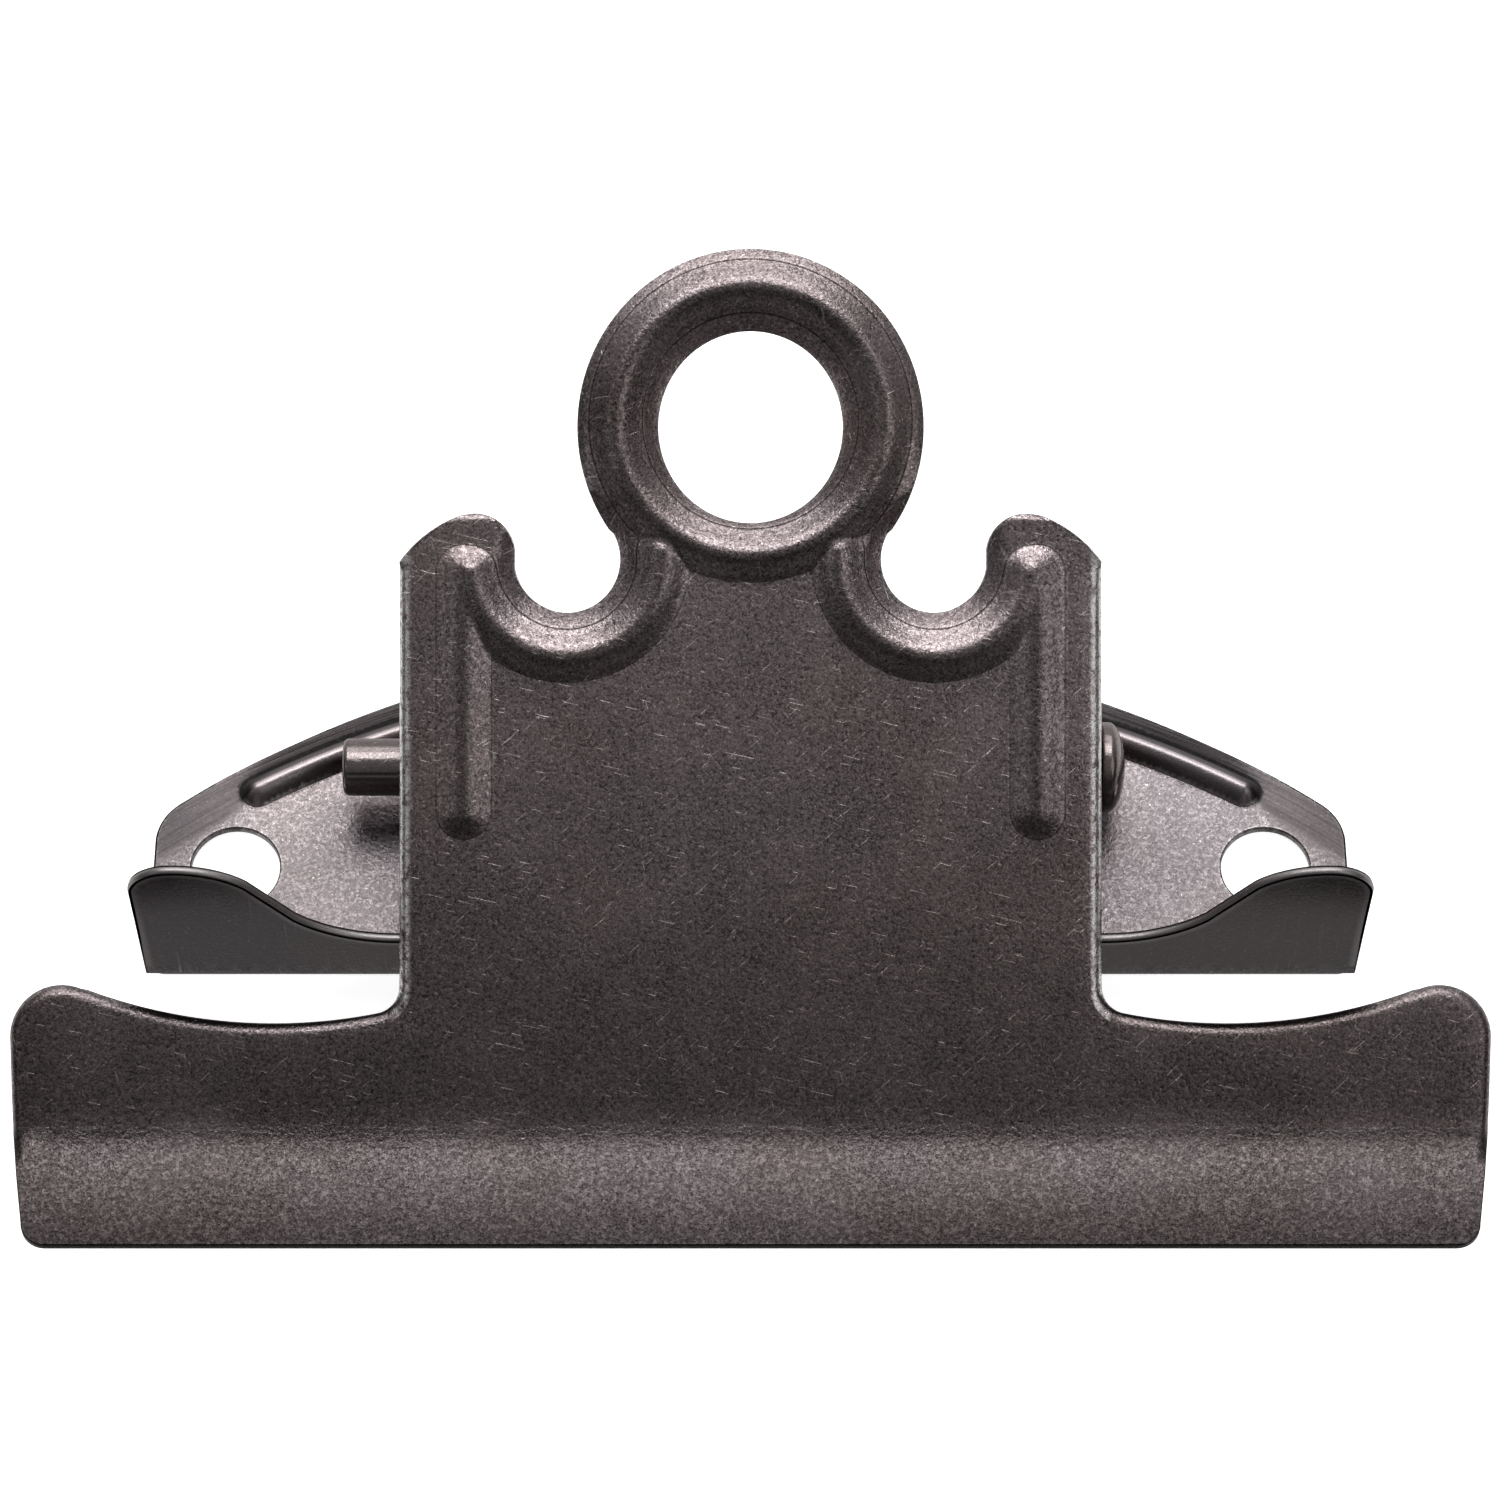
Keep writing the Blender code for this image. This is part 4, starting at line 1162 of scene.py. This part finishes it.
def base_nickel():
    """Brighter than the lever's, with a dark, streaked border outside the rib, a painted highlight beside the
    rib and another along its crest.
    """
    nickel = Nickel("base_nickel", BASE_TONE, 0.27, grain=0.55, wear=0.6, brown=0.2)
    nickel.press(lines=0.1)
    x, y, z = nickel.split(nickel.place)
    border, dark = base_border(nickel, x, y)
    crease = nickel.mark("crease")
    on_rib = nickel.fit(crease, -0.2, 0.1, 0.3, 1.0)
    on_flange = nickel.fit(z, 2.0, 3.5, 1.0, 0.3)
    calm = nickel.times(on_rib, on_flange, nickel.fit(border, 0.0, 1.0, 1.0, 0.3))
    nickel.relief = nickel.times(nickel.relief, calm)
    nickel.mottle = nickel.calmed(nickel.mottle, 0.5, calm)
    # Painted highlight: a soft glow on the plate by the rib, fading over 9 mm from its feet.
    painted_light_by_rib = nickel.fit(crease, 0.3, 9.0, 1.3, 0.95)
    nickel.shade = nickel.times(nickel.calmed(nickel.shade, 1.0, calm), painted_light_by_rib, nickel.minus(1.0, dark))
    # Painted highlight along the rib's crest.
    painted_crest_shading = nickel.fit(crease, -1.7, -0.9, 1.0, 0.0)
    nickel.shade = nickel.add(nickel.shade, nickel.times(painted_crest_shading, 0.8))
    free_edge = nickel.times(nickel.fit(z, 2.5, 3.5), nickel.fit(nickel.mark("edge"), 0.5, 1.2, 1.0, 0.0))
    nickel.wear_off(nickel.times(free_edge, 0.6))
    nickel.matt = nickel.times(free_edge, 0.18)
    return nickel.finished()


def shown(piece, body, node, material):
    """Puts a finished piece in place of its CAD node."""
    piece.data.materials.clear()
    piece.data.materials.append(material)
    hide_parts(node)
    if body:
        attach(piece, body)


pin_steel = plain_nickel("pin_nickel", PIN_TONE, 0.2, wear=0.3, bump=0.15)
spring_steel = plain_nickel("spring_nickel", SPRING_TONE, 0.24, wear=0.4, bump=0.2)
lever_steel = lever_nickel()
base_steel = base_nickel()

shown(lever_plate(), "lever", "lever_plate", lever_steel)
shown(base_plate(), "base", "base_plate", base_steel)
shown(pivot_pin(), "base", "pivot_pin", pin_steel)
spring = torsion_spring()
shown(spring, None, "torsion_spring", spring_steel)
left_end, right_end = ((x * MM, 0.0, PIN_HEIGHT * MM) for x in (spring_low.x, spring_high.x))
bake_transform(spring, "base", "lever", left_end, right_end)


# ---------------------------------------------------------------- studio


def panel(name, place, size, radiance):
    """A soft rectangular light of the given radiance, aimed at the clip. Lengths are metres."""
    data = bpy.data.lights.new(name, "AREA")
    data.shape = "RECTANGLE"
    data.size, data.size_y = size
    data.energy = radiance * math.pi * size[0] * size[1]
    light = added(name, data)
    light.location = place
    light.rotation_euler = (-Vector(place)).to_track_quat("-Z", "Y").to_euler()
    light.visible_camera = False


def around(elevation, distance):
    """A place on the ring's side of the clip, at an elevation in degrees."""
    turn = math.radians(elevation)
    return (0.0, distance * math.cos(turn), distance * math.sin(turn))


def studio_floor():
    """A plain floor that sweeps up into a backdrop all round. Lengths are metres."""
    level = cad_low.z - FLOOR_GAP
    profile = [(radius, 0.0) for radius in (0.001, 0.4, 0.9, FLOOR_RADIUS)]
    profile += round_arc((FLOOR_RADIUS, SWEEP_RADIUS), SWEEP_RADIUS, -80.0, 0.0, 9)
    profile.append((FLOOR_RADIUS + SWEEP_RADIUS, WALL_HEIGHT))
    circle = round_arc((0.0, 0.0), 1.0, 0.0, 360.0, FLOOR_SIDES)[:-1]
    points = [(radius * x, radius * y, height + level) for radius, height in profile for x, y in circle]
    data = bpy.data.meshes.new("studio_floor")
    data.from_pydata(points, [], ring_faces(len(profile), FLOOR_SIDES))
    data.shade_smooth()
    floor = added("studio_floor", data)
    material = bpy.data.materials.new("pale_floor")
    material.use_nodes = True
    shader = material.node_tree.nodes["Principled BSDF"]
    shader.inputs["Base Color"].default_value = (0.9, 0.9, 0.9, 1.0)
    shader.inputs["Roughness"].default_value = 0.9
    shader.inputs["Emission Color"].default_value = (1.0, 1.0, 1.0, 1.0)
    shader.inputs["Emission Strength"].default_value = 0.8
    data.materials.append(material)
    floor.visible_glossy = False


def studio_world():
    """Dim light from below, most at the sides, and from straight above and behind the ring."""
    world = bpy.data.worlds.new("studio")
    world.use_nodes = True
    nodes = Nodes(world.node_tree)
    x, y, z = nodes.split(nodes.coordinate("Generated"))
    sideways = nodes.add(nodes.times(x, x, 1.4), 0.2)
    below = nodes.times(nodes.larger(nodes.times(z, -1.0), 0.0), sideways)
    above = nodes.times(nodes.larger(nodes.minus(z, 0.4), 0.0), 0.3)
    behind = nodes.times(nodes.larger(y, 0.0), 0.42)
    background = world.node_tree.nodes["Background"]
    nodes.put(background.inputs["Color"], (1.0, 0.985, 0.985, 1.0))
    nodes.put(background.inputs["Strength"], nodes.add(below, above, behind, 0.04))
    bpy.context.scene.world = world


def photo_camera():
    """Square to the lever plate, in its frame just left of the middle and above the pin."""
    data = bpy.data.cameras.new("photo_camera")
    data.sensor_width = SENSOR
    data.lens = LENS
    data.clip_start = 0.01
    camera = added("photo_camera", data)
    camera.location = Vector(lever_to_row(np.array([CAMERA]))[0]) * MM
    camera.rotation_euler = (LEAN, 0.0, 0.0)
    bpy.context.scene.camera = camera


studio_floor()
studio_world()
panel("top_panel", around(69.0, 0.55), (0.55, 0.27), 2.5)
panel("back_strip", around(40.0, 0.6), (0.7, 0.2), 1.1)
panel("right_panel", (0.42, -0.2, 0.45), (0.42, 0.45), 0.45)
panel("left_panel", (-0.50, -0.18, 0.36), (0.25, 0.3), 0.25)
photo_camera()
bpy.context.scene.view_settings.view_transform = "Standard"
